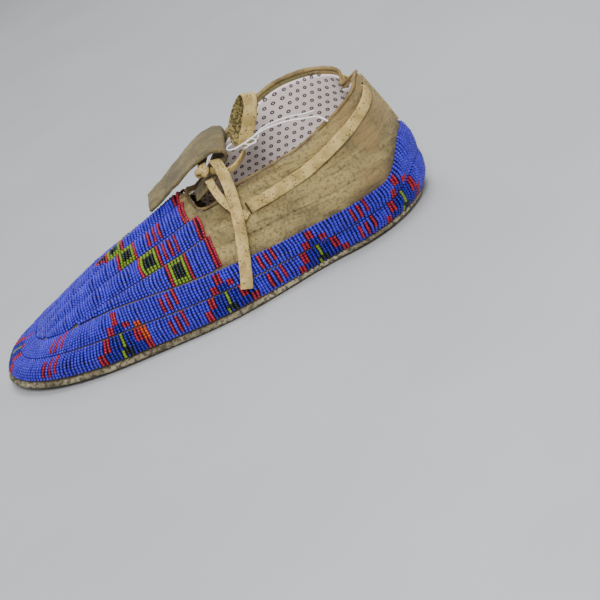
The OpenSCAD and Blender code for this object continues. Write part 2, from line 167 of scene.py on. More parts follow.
# ---- Where the bead patterns sit, in millimetres ----
BLOCK_Y = {0: -38.5, 1: -30.3, 2: -18.7, 3: -4.9}
PYRAMIDS = (0, 88, 149, 203, 256)
BAR_SETS = (45, 119, 176, 230)
BAR_SHARES = {-2: (0.08, 0.80), 0: (0.15, 0.86), 2: (0.24, 0.95)}
ORANGE_AT = (101, 98)

# ---- How finely the pieces are made, and how their surfaces are laid out ----
WELD = 2e-6
SEAM_WELD = 2e-5
LACE_SIDES = 16
LACE_SQUARE = (0.45, 0.75)
RIM_SIDES = 12
RIM_SQUARE = (0.8, 0.8)
UPPER_FRONT = 44
UPPER_UP = 34
SOLE_STEPS = 130
TONGUE_ACROSS = 20
NOISE_ROUGHNESS = 0.55
UV_MM = 100
SEAM_UP = 0.15
HOLES_PER_UV = 26
PRINT_PITCH = (5.0, 4.4)
PRINT_RING = 0.16

# ---- The view: the camera's place in millimetres, its angles in degrees ----
CAMERA_AT = Vector((634.16, 131.95, 297.23))
CAMERA_AZIMUTH = 98.52
CAMERA_ELEVATION = 27.18
CAMERA_ROLL = -29.11
SENSOR_MM = 36
LAMPS = (
    ("key", (0.95, 0.22, 1.0), 0.6, 20),
    ("top", (-0.2, 0.3, 1.35), 0.7, 10),
    ("back", (-0.9, -0.3, 0.9), 0.8, 4),
)
LAMPS_LOOK_AT = Vector((0, 0, 0.03))
SKY_COLOUR = (0.86, 0.90, 0.95, 1)
SKY_STRENGTH = 0.42
FLOOR_RADIUS = 4


def clamp(u):
    return max(0.0, min(1.0, u))


def ease(u):
    v = clamp(u)
    return v * v * (3 - 2 * v)


def mix(a, b, u):
    return a + (b - a) * u


def power(v, e):
    return 0.0 if v <= 0 else v**e


def spline(points, s):
    """Catmull-Rom curve through the points, at position s counted in points."""
    last = len(points) - 1
    i = min(int(s), last - 1)
    u = s - i
    a, b, c, d = (points[k] for k in (max(i - 1, 0), i, i + 1, min(i + 2, last)))
    return [
        0.5 * (2 * q + (r - p) * u + (2 * p - 5 * q + 4 * r - t) * u * u + (3 * q - p - 3 * r + t) * u**3)
        for p, q, r, t in zip(a, b, c, d)
    ]


def smooth(points, steps):
    return [spline(points, i / steps) for i in range((len(points) - 1) * steps + 1)]


def smooth_route(points, steps):
    return [Vector(p) for p in smooth(points, steps)]


def lift(y):
    return MIN_LIFT + (TOE_SPRING if y < 0 else HEEL_SPRING) * (y / HALF_LEN) ** 2


def mid_x(y):
    return BEND_X - TOE_SWING * ((y - BEND_Y) / (HALF_LEN + BEND_Y)) ** 2


def ridge_z(y):
    return TOE_HEIGHT + RIDGE_SLOPE * (y + HALF_LEN)


def crown_power(y):
    return mix(TOE_CROWN, THROAT_CROWN, clamp((y + HALF_LEN) / (THROAT_Y + HALF_LEN)))


def crown(r, n):
    return power(1 - power(r, n), 1 / n)


def base_z(y):
    return lift(y) + SOLE_T


def outline(t, off=0.0):
    """Edge of the sole at share t of the way from toe to heel, before the bend, grown by off."""
    if t < TOE_SHARE:
        a = math.pi / 2 * t / TOE_SHARE
        return Vector((
            (BALL_HALF + off) * power(math.sin(a), 2 / TOE_SQUARE),
            TOE_Y - (TOE_LEN + off) * power(math.cos(a), 2 / TOE_SQUARE),
        ))
    if t > HEEL_SHARE:
        a = math.pi / 2 * (1 - t) / (1 - HEEL_SHARE)
        return Vector(((HEEL_HALF + off) * math.sin(a), HEEL_Y + (HEEL_LEN + off) * math.cos(a)))
    u = (t - TOE_SHARE) / (HEEL_SHARE - TOE_SHARE)
    wide = mix(BALL_HALF, HEEL_HALF, ease(u)) + INSTEP_BULGE * math.sin(math.pi * u) ** 2
    return Vector((wide + off, mix(TOE_Y, HEEL_Y, u)))


def hub(t):
    y = TOE_Y if t < TOE_SHARE else HEEL_Y if t > HEEL_SHARE else outline(t).y
    return Vector((0.0, y))


def crest_station(t):
    h = hub(t)
    p = h + (outline(t) - h).normalized() * CREST_HALF
    return [t, p.x, p.y, ridge_z(p.y), 0]


def rim_stations(side, steps):
    """Stations [share, x, y, top, open] along the ankle opening, from the throat to the heel."""
    table = [crest_station(THROAT_T)[:4], *(OUTER_RIM if side > 0 else INNER_RIM)]
    return [[min(p[0], 1), max(p[1], 0), p[2], p[3] - HEM_H, 1] for p in smooth(table, steps)]


def front_stations(n):
    return [crest_station(THROAT_T * i / n) for i in range(n)]


def stations(side, n, steps):
    return front_stations(n) + rim_stations(side, steps)


def wall_point(side, s, a, off=0.0):
    """Point of the wall at radius share a, from 0 at the top to 1 at the sole, grown by off."""
    t, open_top = s[0], s[4]
    h = hub(t)
    b = outline(t, off - INSET)
    foot = Vector((s[1], s[2]))
    out = (b - h).normalized()
    top = foot + (foot - h).normalized() * off * open_top
    ratio = min((foot - h).length / (b - h).length, 0.98)
    bare = top + (b - top) * a
    n = crown_power(bare.y)
    rise = crown(mix(ratio, 1, a), n)
    if open_top:
        rise /= crown(ratio, n)
    zb = base_z(b.y if open_top else bare.y)
    zt = s[3] + RIM_SLANT * off if open_top else ridge_z(bare.y) + off
    swell = SIDE_BULGE * ease((t - THROAT_T) / 0.2) + (HEEL_BULGE - SIDE_BULGE) * ease((t - 0.85) / 0.15)
    p = bare + out * swell * math.sin(math.pi * power(clamp(rise), 0.6)) * open_top
    return Vector((side * p.x + mid_x(p.y), p.y, zb + (zt - zb) * rise))


class Line:
    """A run of points that can be read at any length along it."""

    def __init__(self, points):
        self.points = points
        self.runs = [0.0]
        for a, b in zip(points, points[1:]):
            self.runs.append(self.runs[-1] + (b - a).length)
        self.length = self.runs[-1]

    def at(self, d):
        d = max(0.0, min(self.length, d))
        i = min(max(bisect_right(self.runs, d) - 1, 0), len(self.points) - 2)
        u = (d - self.runs[i]) / max(self.runs[i + 1] - self.runs[i], 1e-9)
        return self.points[i].lerp(self.points[i + 1], u)

    def along(self, d, reach=1.0):
        return (self.at(d + reach) - self.at(d - reach)).normalized()


class Wall(Line):
    """The wall at one station, from the sole up."""

    def __init__(self, side, s, off=0.0, n=24):
        shares = [power(math.cos(math.pi / 2 * i / n), 1.3) for i in range(n + 1)]
        super().__init__([wall_point(side, s, a, off) for a in shares])
        across = self.points[0] - self.points[-1]
        self.across = Vector((across.x, across.y)).normalized()

    def outward(self, d):
        t = self.along(d)
        h = self.across
        return Vector((h.x * t.z, h.y * t.z, -(h.x * t.x + h.y * t.y))).normalized()

    def lifted(self, d, off):
        return self.at(d) + self.outward(d) * off


def border_w(t):
    side = mix(LANE_W, SIDE_LANE_W, clamp((t - 0.33) / 0.37))
    return mix(side, HEEL_LANE_W, ease((t - 0.89) / 0.08))


def border_top(t):
    return BEAD_FOOT + 2 * (border_w(t) + SEAM_W)


def vamp_reach(y):
    if y < TOE_Y:
        return (BALL_HALF - INSET) * crown((TOE_Y - y) / (TOE_LEN - INSET), TOE_SQUARE)
    return outline(TOE_SHARE + (HEEL_SHARE - TOE_SHARE) * (y - TOE_Y) / (HEEL_Y - TOE_Y), -INSET).x


def vamp_z(x, y):
    w = vamp_reach(max(y, TOE_Y))
    fore = max(TOE_Y - y, 0) / (TOE_LEN - INSET)
    rho = abs(x) / w
    if y < TOE_Y:
        rho = min(power(power(rho, TOE_SQUARE) + power(fore, TOE_SQUARE), 1 / TOE_SQUARE), 1)
    return base_z(y) + (ridge_z(y) - base_z(y)) * crown(min(rho, 1), crown_power(y))


class BorderEdge:
    """How far the border's upper lane leaves free on each side of the middle line."""

    def __init__(self, side):
        spots = []
        for s in stations(side, 120, 6)[:140]:
            p = Wall(side, s).at(border_top(s[0]) + 0.2)
            spots.append((p.y, abs(p.x - mid_x(p.y))))
        spots.sort()
        self.ys, self.reach = zip(*spots)

    def half(self, y):
        return 0.0 if y <= self.ys[0] else float(np.interp(y, self.ys, self.reach))


class Vamp(Line):
    """Half a cut across the vamp, from the ridge outwards."""

    def __init__(self, y, n=40):
        w = vamp_reach(y)
        super().__init__([Vector((w * i / n, y, vamp_z(w * i / n, y))) for i in range(n + 1)])
        self.y = y

    def lifted(self, d, off):
        t = self.at(abs(d) + 1) - self.at(max(abs(d) - 1, 0))
        out = Vector((0, 0, 1)) if abs(d) < 1 else Vector((-t.z, 0, t.x)).normalized()
        q = self.at(abs(d)) + out * off
        return Vector(((-q.x if d < 0 else q.x) + mid_x(self.y), self.y, q.z))

    def room(self, edge):
        """Length from the ridge to the border, and a touch over."""
        return float(np.interp(edge.half(self.y), [p.x for p in self.points], self.runs)) + 0.1


# ---- Mesh helpers ----


def drape(bm, table, uvs=None):
    """Lays a grid over a table of points, and gives it a UV map in decimetres where uvs has one."""
    nu = len(table) - 1
    nv = len(table[0]) - 1
    made = bmesh.ops.create_grid(bm, x_segments=nu, y_segments=nv, size=0.5)["verts"]
    spot = {}
    for v in made:
        i = round((v.co.x + 0.5) * nu)
        j = round((v.co.y + 0.5) * nv)
        spot[v] = (i, j)
        v.co = table[i][j] * MM
    if uvs:
        layer = bm.loops.layers.uv.verify()
        for face in {f for v in made for f in v.link_faces}:
            for loop in face.loops:
                i, j = spot[loop.vert]
                loop[layer].uv = (uvs[i][j][0] / 100, uvs[i][j][1] / 100)
    return made


def add_object(name, data):
    thing = bpy.data.objects.new(name, data)
    bpy.context.collection.objects.link(thing)
    return thing


def weld(bm, dist=WELD):
    bmesh.ops.remove_doubles(bm, verts=bm.verts, dist=dist)


def turn_out(bm):
    bmesh.ops.recalc_face_normals(bm, faces=bm.faces)


def thicken(bm, thickness):
    bmesh.ops.solidify(bm, geom=bm.faces[:], thickness=thickness * MM)


def close_ends(bm):
    edges = [e for e in bm.edges if e.is_boundary]
    if edges:
        bmesh.ops.holes_fill(bm, edges=edges, sides=0)


def make_piece(bm, name, material, body="shoe", nodes=(), slot=None):
    """Turns a bmesh into a piece that rides on its body."""
    mesh = bpy.data.meshes.new(name)
    bm.to_mesh(mesh)
    bm.free()
    mesh.shade_smooth()
    mesh.materials.append(material)
    piece = add_object(name, mesh)
    if body:
        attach(piece, body)
    if nodes:
        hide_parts(*nodes)
    return piece


def make_closed(name, material, tables, uvs=None, **settings):
    """Makes one piece of several tables of points, with the open ends filled."""
    bm = bmesh.new()
    for table in tables:
        drape(bm, table, uvs)
    weld(bm)
    close_ends(bm)
    turn_out(bm)
    return make_piece(bm, name, material, **settings)


def section(sides, square=(1, 1)):
    """Points round a closed section, one unit to each side; square below 1 fills its corners."""
    points = []
    for k in range(sides + 1):
        a = 2 * math.pi * k / sides
        both = zip((math.cos(a), math.sin(a)), square)
        points.append([math.copysign(power(abs(c), e), c) for c, e in both])
    return points


def waver(p, scale, seed=0.0):
    """Smooth noise from -1 to 1 at a point in millimetres."""
    return noise.noise(Vector(p) / scale + Vector((seed, 2 * seed, -seed)))


# ---- Materials ----


class Finish:
    """A procedural material in the making."""

    def __init__(self, name, roughness=0.7, specular=0.5):
        self.material = bpy.data.materials.new(name)
        self.material.use_nodes = True
        self.tree = self.material.node_tree
        self.shader = self.tree.nodes["Principled BSDF"]
        self.shader.inputs["Roughness"].default_value = roughness
        self.shader.inputs["Specular IOR Level"].default_value = specular
        self.place = self.add("ShaderNodeTexCoord")

    def put(self, socket, value):
        """Links a socket to the value, or sets it where the value is a number, a size or a colour."""
        if isinstance(value, bpy.types.NodeSocket):
            self.tree.links.new(value, socket)
        elif socket.type == "RGBA":
            socket.default_value = (*value, 1.0)
        else:
            socket.default_value = value

    def add(self, kind, inputs=None, **settings):
        node = self.tree.nodes.new(kind)
        for key, value in settings.items():
            setattr(node, key, value)
        for key, value in (inputs or {}).items():
            self.put(node.inputs[key], value)
        return node

    def noise(self, scale, detail=4.0, stretch=None):
        vector = self.place.outputs["Object"]
        if stretch:
            vector = self.add("ShaderNodeMapping", {"Vector": vector, "Scale": stretch}).outputs[0]
        inputs = {"Vector": vector, "Scale": scale, "Detail": detail, "Roughness": NOISE_ROUGHNESS}
        return self.add("ShaderNodeTexNoise", inputs).outputs["Fac"]

    def cells(self, scale):
        inputs = {"Vector": self.place.outputs["Object"], "Scale": scale}
        return self.add("ShaderNodeTexVoronoi", inputs).outputs["Distance"]

    def step(self, value, low, high, to_low=0.0, to_high=1.0):
        inputs = {"Value": value, "From Min": low, "From Max": high, "To Min": to_low, "To Max": to_high}
        return self.add("ShaderNodeMapRange", inputs, interpolation_type="SMOOTHSTEP").outputs[0]

    def calc(self, operation, a, b=0.0):
        return self.add("ShaderNodeMath", {0: a, 1: b}, operation=operation).outputs[0]

    def times(self, first, *others):
        for other in others:
            first = self.calc("MULTIPLY", first, other)
        return first

    def away(self, value, middle):
        """How far the value is from the middle, on either side."""
        return self.calc("ABSOLUTE", self.calc("SUBTRACT", value, middle))

    def blend(self, share, a, b):
        return self.add("ShaderNodeMix", {0: share, 6: a, 7: b}, data_type="RGBA").outputs[2]

    def mottle(self, colour, spots, scale, detail, low, high, most=1.0, stretch=None):
        """Lays patches of a second colour over the first, as dense as most."""
        return self.blend(self.step(self.noise(scale, detail, stretch), low, high, 0, most), colour, spots)

    def axis(self, name, source="Object"):
        return self.add("ShaderNodeSeparateXYZ", {0: self.place.outputs[source]}).outputs[name]

    def wear(self, socket, value):
        self.tree.links.new(value, self.shader.inputs[socket])

    def bump(self, height, strength, distance):
        normal = self.shader.inputs["Normal"]
        inputs = {"Height": height, "Strength": strength, "Distance": distance}
        if normal.is_linked:
            inputs["Normal"] = normal.links[0].from_socket
        self.wear("Normal", self.add("ShaderNodeBump", inputs).outputs[0])

    def grain(self, scale, detail, strength, distance, stretch=None):
        self.bump(self.noise(scale, detail, stretch), strength, distance)


def hide_finish(name, palette, soiled=True, pale=None, grey=None):
    """Brain-tanned hide: mottled, napped, dark in the folds, and darker in a mottled band just above the
    beads.
    """
    f = Finish(name, roughness=0.88, specular=0.25)
    clean, handled = pale or palette.hide_pale, grey or palette.hide_grey
    colour = f.mottle(clean, handled, 32, 7, 0.40, 0.62, stretch=(1, 0.6, 1.6))
    colour = f.mottle(colour, palette.hide_brown, 85, 6, 0.48, 0.70, 0.7, (1, 0.4, 2.2))
    colour = f.mottle(colour, palette.hide_dark, 150, 5, 0.55, 0.72, 0.5, (0.6, 0.35, 2.6))
    colour = f.mottle(colour, palette.hide_dark, 620, 4, 0.45, 0.72, 0.62)
    if soiled:
        colour = soil(f, colour, palette)
    f.wear("Base Color", colour)
    f.grain(1100, 4, 0.8, 0.0005)
    f.grain(330, 5, 0.8, 0.0008, (1, 0.7, 1.4))
    f.grain(110, 5, 0.9, 0.0022, (0.7, 0.35, 2.2))
    f.shader.inputs["Sheen Weight"].default_value = 0.08
    f.shader.inputs["Sheen Roughness"].default_value = 0.6
    return f.material


def soil(f, colour, palette):
    """Rusty patches at the heel, a mottled darker band just above the beads and the faint line of an old
    seam.
    """
    heel = f.step(f.axis("Y"), 0.07, 0.12)
    patch = f.times(heel, f.step(f.noise(40), 0.42, 0.62, 0, 0.75))
    colour = f.blend(patch, colour, palette.stain)
    height = f.axis("Y", "UV")
    # Darker towards the top of the beads: hide_dark, strongest where the hide meets the beads, fading out
    # over about 9 mm.
    dirt = f.times(f.step(height, 0.09, -0.02), f.step(f.noise(60, 5), 0.3, 0.6, 0.25, 0.8))
    colour = f.blend(dirt, colour, palette.hide_dark)
    wander = f.times(f.noise(18, 2), 0.09)
    line = f.away(f.calc("ADD", height, wander), SEAM_UP)
    hole = f.away(f.calc("FRACT", f.times(f.axis("X", "UV"), HOLES_PER_UV)), 0.5)
    left = f.step(f.noise(55, 2), 0.42, 0.56)
    dots = f.times(f.step(line, 0.006, 0.003), f.step(hole, 0.2, 0.12), left)
    crease = f.step(line, 0.010, 0.0, 0, 0.35)
    span = f.times(f.step(f.axis("Y"), 0.012, 0.022), f.step(f.axis("Y"), 0.1, 0.09))
    marks = f.times(f.calc("MAXIMUM", dots, crease), span, 0.75)
    f.bump(marks, 0.5, -0.0006)
    return f.blend(marks, colour, palette.stitch_hole)


def edge_finish(name, palette):
    """Raw hide edge, rubbed and browned."""
    f = Finish(name, roughness=0.8, specular=0.3)
    colour = f.mottle(palette.edge_ochre, palette.edge_brown, 120, 5, 0.35, 0.7)
    f.wear("Base Color", f.mottle(colour, palette.hide_dark, 800, 3, 0.5, 0.75, 0.6))
    f.grain(700, 5, 0.7, 0.0005)
    return f.material


def lace_finish(name, palette, flesh=False):
    """Cut hide lace: tan, with dark pores and scuffs; its flesh side is rough and dark."""
    f = Finish(name, roughness=0.75, specular=0.3)
    colour = f.mottle(palette.lace_tan, palette.lace_ochre, 130, 6, 0.38, 0.66)
    scuffs = f.step(f.noise(620, 4, (1, 0.6, 1)), 0.50, 0.68, 0, 0.75)
    colour = f.blend(f.times(scuffs, f.step(f.noise(110, 3), 0.4, 0.6)), colour, palette.lace_ochre)
    pores = f.times(f.step(f.cells(700), 0.42, 0.18), f.step(f.noise(190, 3), 0.40, 0.56))
    colour = f.blend(f.times(pores, 0.85), colour, palette.lace_pore)
    if flesh:
        rough = f.noise(800, 5)
        dark = f.blend(f.step(rough, 0.42, 0.60), palette.lace_pore, palette.flesh_olive)
        side = f.step(f.axis("Y", "UV"), 0.49, 0.51)
        colour = f.blend(side, colour, dark)
        f.bump(f.times(rough, side), 1.0, 0.0009)
    f.wear("Base Color", colour)
    f.grain(600, 5, 0.5, 0.0004)
    f.bump(pores, 0.4, -0.0003)
    return f.material


def slit_finish(name, palette):
    """Dark, greasy lip of a slit cut for the lace."""
    f = Finish(name, roughness=0.9, specular=0.15)
    f.wear("Base Color", f.mottle(palette.stitch_hole, palette.hide_dark, 500, 3, 0.4, 0.7))
    f.grain(900, 3, 0.5, 0.0003)
    return f.material


def rawhide_finish(name, palette):
    """Rawhide sole: hard, layered at the edge and stained from the ground."""
    f = Finish(name, roughness=0.72, specular=0.4)
    colour = f.mottle(palette.rawhide, palette.rawhide_dark, 55, 6, 0.35, 0.68)
    colour = f.mottle(colour, palette.rawhide_pit, 520, 6, 0.45, 0.60, 0.85)
    layers = f.noise(420, 5, (0.25, 0.25, 2.2))
    f.wear("Base Color", f.blend(f.step(layers, 0.52, 0.7, 0, 0.55), colour, palette.rawhide_dark))
    f.grain(380, 6, 1.0, 0.0013)
    f.bump(layers, 0.7, 0.0009)
    return f.material


def cotton_finish(name, palette):
    """Old cotton print: off-white plain weave with small open rings in staggered rows."""
    f = Finish(name, roughness=0.95, specular=0.15)
    x = f.times(f.axis("X", "UV"), UV_MM / PRINT_PITCH[0])
    y = f.times(f.axis("Y", "UV"), UV_MM / PRINT_PITCH[1])
    stagger = f.calc("FRACT", f.times(f.calc("FLOOR", y), 0.5))
    cx = f.calc("SUBTRACT", f.calc("FRACT", f.calc("ADD", x, stagger)), 0.5)
    cy = f.calc("SUBTRACT", f.calc("FRACT", y), 0.5)
    far = f.calc("SQRT", f.calc("ADD", f.times(cx, cx), f.times(cy, cy)))
    ring = f.step(f.away(far, PRINT_RING), 0.115, 0.06)
    colour = f.mottle(palette.cotton, palette.cotton_soiled, 35, 5, 0.35, 0.7)
    f.wear("Base Color", f.blend(f.times(ring, 0.92), colour, palette.print_dark))
    weave = {"Vector": f.place.outputs["UV"], "Scale": 70.0}
    warp = f.add("ShaderNodeTexWave", {**weave, "Distortion": 0.4})
    weft = f.add("ShaderNodeTexWave", weave, bands_direction="Y")
    f.bump(f.times(warp.outputs["Fac"], weft.outputs["Fac"]), 0.35, 0.0002)
    f.grain(120, 4, 0.3, 0.0007)
    return f.material


def thread_finish(name, palette):
    """White cotton thread with a twist."""
    f = Finish(name, roughness=0.8, specular=0.2)
    f.wear("Base Color", f.mottle(palette.thread, palette.cotton_soiled, 900, 3, 0.35, 0.7))
    f.grain(1800, 2, 0.5, 0.0002, (1, 3, 1))
    return f.material


def bead_finish(name, palette):
    """Opaque glass beads, each with the colour it was strung in."""
    f = Finish(name, roughness=0.25, specular=0.36)
    own = f.add("ShaderNodeAttribute", attribute_name="bead_colour").outputs["Color"]
    f.wear("Base Color", f.mottle(own, palette.bead_grime, 260, 3, 0.5, 0.85, 0.22))
    f.wear("Roughness", f.step(f.noise(500, 2), 0.3, 0.7, 0.20, 0.40))
    return f.material


def gap_shade_finish(name, palette):
    """Painted shade: a near-black sheet that shows between the rows of beads, standing in for the shadow in
    the gaps.
    """
    f = Finish(name, roughness=0.9, specular=0.15)
    f.wear("Base Color", f.mottle(palette.gap_shade, palette.gap_shade_patches, 160, 4, 0.4, 0.7))
    f.grain(900, 3, 0.5, 0.0003)
    return f.material


def floor_finish(name, palette):
    """Matt floor paint."""
    f = Finish(name, roughness=0.85, specular=0.2)
    f.wear("Base Color", f.mottle(palette.floor, palette.floor_shade, 7, 3, 0.3, 0.7))
    f.grain(600, 3, 0.15, 0.0002)
    return f.material


# ---- Settings ----


def colour_prop(name, description, value):
    return FloatVectorProperty(
        name=name, description=description, default=value, subtype="COLOR", size=3, min=0, max=1
    )


def length_prop(name, description, value, least):
    return FloatProperty(name=name, description=description, default=value, min=least, unit="LENGTH")


class MoccasinPalette(PropertyGroup):
    """Colours of the shoe and the studio, linear."""

    bead_blue: colour_prop("Bead blue", "Ground colour of the beadwork", (0.040, 0.025, 0.48))
    bead_cobalt: colour_prop("Bead cobalt", "Stepped pyramids of the border", (0.012, 0.006, 0.25))
    bead_red: colour_prop("Bead red", "Bars and outlines", (0.30, 0.010, 0.028))
    bead_green: colour_prop("Bead green", "Blocks of the vamp", (0.16, 0.25, 0.010))
    bead_black: colour_prop("Bead black", "Middle of the blocks", (0.008, 0.014, 0.012))
    bead_orange: colour_prop("Bead orange", "Replaced beads", (0.48, 0.06, 0.008))
    bead_grime: colour_prop("Bead grime", "Film of dirt on the glass", (0.02, 0.02, 0.05))
    # Painted shade: the near-black colours of the sheet that shows in the gaps between the rows of beads.
    gap_shade: colour_prop("Backing", "What shows between the rows", (0.004, 0.004, 0.012))
    gap_shade_patches: colour_prop("Backing, worn", "Sinew between the rows", (0.014, 0.012, 0.016))
    hide_pale: colour_prop("Hide, pale", "Cleanest part of the hide", (0.37, 0.28, 0.11))
    hide_grey: colour_prop("Hide, grey", "Handled part of the hide", (0.175, 0.14, 0.06))
    hide_brown: colour_prop("Hide, brown", "Mottling of the hide", (0.175, 0.115, 0.042))
    hide_dark: colour_prop("Hide, dark", "Dirt in the grain", (0.05, 0.038, 0.022))
    stain: colour_prop("Stain", "Rusty patches at the heel", (0.30, 0.19, 0.075))
    stitch_hole: colour_prop("Stitch hole", "Old stitch holes", (0.03, 0.02, 0.015))
    edge_ochre: colour_prop("Edge, ochre", "Rolled edge of the opening", (0.29, 0.20, 0.075))
    edge_brown: colour_prop("Edge, brown", "Rubbed parts of the edge", (0.12, 0.082, 0.034))
    lace_tan: colour_prop("Lace, tan", "Clean lace", (0.57, 0.415, 0.155))
    lace_ochre: colour_prop("Lace, ochre", "Worn lace", (0.35, 0.245, 0.08))
    flesh_olive: colour_prop("Lace, flesh side", "Rough side of the lace", (0.34, 0.27, 0.085))
    tongue_pale: colour_prop("Tongue, pale", "Cleanest part of the tongue", (0.25, 0.19, 0.072))
    tongue_dark: colour_prop("Tongue, dark", "Handled part of the tongue", (0.11, 0.088, 0.038))
    lace_pore: colour_prop("Lace pores", "Pores of the lace", (0.085, 0.06, 0.028))
    rawhide: colour_prop("Rawhide", "Sole", (0.35, 0.30, 0.18))
    rawhide_dark: colour_prop("Rawhide, dark", "Worn sole", (0.15, 0.12, 0.066))
    rawhide_pit: colour_prop("Rawhide pits", "Pits and dirt of the sole", (0.026, 0.022, 0.014))
    cotton: colour_prop("Cotton", "Ground of the lining", (0.95, 0.85, 0.82))
    cotton_soiled: colour_prop("Cotton, soiled", "Greyed lining", (0.88, 0.75, 0.71))
    print_dark: colour_prop("Print", "Rings printed on the lining", (0.035, 0.012, 0.03))
    thread: colour_prop("Thread", "Tag thread", (0.88, 0.90, 0.95))
    floor: colour_prop("Floor", "Studio floor", (0.47, 0.475, 0.485))
    floor_shade: colour_prop("Floor, shaded", "Mottling of the floor", (0.44, 0.445, 0.455))


class MoccasinSizes(PropertyGroup):
    """Sizes of the beadwork and the view."""

    row_pitch: length_prop("Row pitch", "From one row of beads to the next", 0.00196, 0.0015)
    bead_across: length_prop("Bead diameter", "Diameter of a seed bead", 0.00160, 0.001)
    bead_long: length_prop("Bead length", "Length of a seed bead on its thread", 0.00142, 0.001)
    lens: FloatProperty(name="Lens", description="Focal length of the camera", default=0.0768, unit="CAMERA")
    seed: IntProperty(name="Seed", description="Varies the beads' small differences", default=11)


# ---- Beads ----


def bead_form():
    """One short barrel, along Z, one unit in radius and half length."""
    bm = bmesh.new()
    bmesh.ops.create_cone(bm, cap_ends=True, segments=8, radius1=1, radius2=1, depth=2)
    rims = [e for e in bm.edges if abs(e.verts[0].co.z - e.verts[1].co.z) < 0.1]
    bmesh.ops.bevel(bm, geom=rims, offset=0.27, segments=1, profile=0.5, affect="EDGES", material=-1)
    mesh = bpy.data.meshes.new("bead_form")
    bm.to_mesh(mesh)
    bm.free()
    return mesh


def gap_shade_row(cut, low, high):
    """Points of the sheet of painted gap shade under one row, a little short of the lane's edges."""
    low, high = low + GAP_SHADE_INSET, high - GAP_SHADE_INSET
    return [cut.lifted(mix(low, high, k / 8), GAP_SHADE_UP) for k in range(9)]


def string_beads(name, beads, material, node):
    """Beads given as (centre, thread direction, outward, half length, colour), as one piece."""
    sizes = bpy.context.scene.moccasin_sizes
    radius = sizes.bead_across / MM / 2
    form = bead_form()
    count = len(form.vertices)
    rest = np.empty(count * 3, dtype=np.float32)
    form.vertices.foreach_get("co", rest)
    rest = rest.reshape(-1, 3)
    bm = bmesh.new()
    tones = []
    rng = random.Random(f"{name}{sizes.seed}")
    for centre, thread, out, half, colour in beads:
        across = thread.cross(out).normalized()
        up = across.cross(thread).normalized()
        fat = radius * rng.uniform(0.93, 1.03)
        turn = rng.uniform(0, math.pi / 4)
        one = (across * math.cos(turn) + up * math.sin(turn)) * fat
        two = (up * math.cos(turn) - across * math.sin(turn)) * fat
        basis = np.array([one, two, thread.normalized() * half * rng.uniform(0.97, 1.03)])
        form.vertices.foreach_set("co", ((rest @ basis + np.array(centre)) * MM).astype(np.float32).ravel())
        bm.from_mesh(form)
        tone = rng.uniform(0.78, 1.16)
        tones.append([min(1.0, c * tone) for c in colour] + [1.0])
    bpy.data.meshes.remove(form)
    piece = make_piece(bm, name, material, nodes=[node], slot="beads")
    layer = piece.data.attributes.new("bead_colour", "FLOAT_COLOR", "POINT")
    layer.data.foreach_set("color", np.repeat(np.array(tones, dtype=np.float32), count, axis=0).ravel())
    return piece


def vamp_colour(lane, k, share, to_end, palette):
    """Colour of a bead on the vamp: k rows from the block's middle, share across its lane."""
    away = abs(share - 0.5)
    if to_end < 2:
        return palette.bead_red
    if abs(k) == 3:
        return palette.bead_red
    if abs(k) == 2:
        return palette.bead_green
    if abs(k) <= 1:
        return palette.bead_black if away < 0.26 else palette.bead_green
    if lane == 0 and -8 < k < -3:
        reach = 0.40 - 0.09 * (-4 - k)
        if away < reach:
            return palette.bead_red if away > reach - 0.14 or k == -7 else palette.bead_black
    first = {1: 8, 2: 5}.get(abs(lane))
    if first and k in (first, first + 2, first + 4) and away < 0.34:
        return palette.bead_red
    return palette.bead_blue


def border_colour(level, side, length, share, pitch, palette):
    """Colour of a bead of the border: length from the toe along its side, share up its lane."""
    for middle in PYRAMIDS:
        k = round((length - middle) / pitch)
        far = abs(k)
        if level == 0:
            if share > 0.12 and k == 0:
                return palette.bead_green if share > 0.42 else palette.bead_black
            if far == 1 and share < 0.38:
                return palette.bead_green if share < 0.3 and k < 0 else palette.bead_black
            wide = 5 if share < 0.48 else 3
            if far <= wide:
                return palette.bead_cobalt
            if far <= wide + 2:
                return palette.bead_red
        else:
            if share < 0.38:
                if far <= 1:
                    return palette.bead_cobalt
                if far <= 3 and (share > 0.1 or k < 0):
                    return palette.bead_red
            elif share < 0.86 and k in (-1, 0):
                return palette.bead_red
    for middle in BAR_SETS:
        k = round((length - middle) / pitch)
        low, high = BAR_SHARES.get(k, (2, 2))
        if low < share < high:
            return palette.bead_red
    if side > 0 and round((length - ORANGE_AT[level]) / pitch) in (0, 1):
        if share < 0.2 if level else share > 0.3:
            return palette.bead_orange
    return palette.bead_blue


def vamp_rows(index):
    """The rows of one lane over the vamp: (y, left edge, right edge, cut)."""
    sizes = bpy.context.scene.moccasin_sizes
    lane = index - 3
    edge = BorderEdge(1 if lane > 0 else -1)
    y0, y1 = edge.ys[0] + 1, LANE_END_Y[index]
    ys = [mix(y0, y1, i / 120) for i in range(121)]

    def edges(cut):
        k = 1 - LANE_TAPER * clamp(-cut.y / TAPER_RUN)
        room = cut.room(edge)
        low = k * (lane * (LANE_W + SEAM_W) - LANE_W / 2)
        high = k * (lane * (LANE_W + SEAM_W) + LANE_W / 2)
        if lane == 3:
            high = room
        if lane == -3:
            low = -room
        return max(-room, min(room, low)), max(-room, min(room, high))

    cuts = [cut for cut in (Vamp(y) for y in ys) if edges(cut)[1] - edges(cut)[0] > 1.3]

    middles = []
    for cut in cuts:
        low, high = edges(cut)
        middles.append(cut.lifted((low + high) / 2, GAP))
    line = Line(middles)
    pitch = sizes.row_pitch / MM
    count = int((line.length - pitch * 0.5) / pitch)
    start = line.length - count * pitch - pitch * 0.5
    rows = []
    for i in range(count + 1):
        y = line.at(start + i * pitch).y
        cut = Vamp(y)
        low, high = edges(cut)
        rows.append((y, low, high, cut))
    return rows


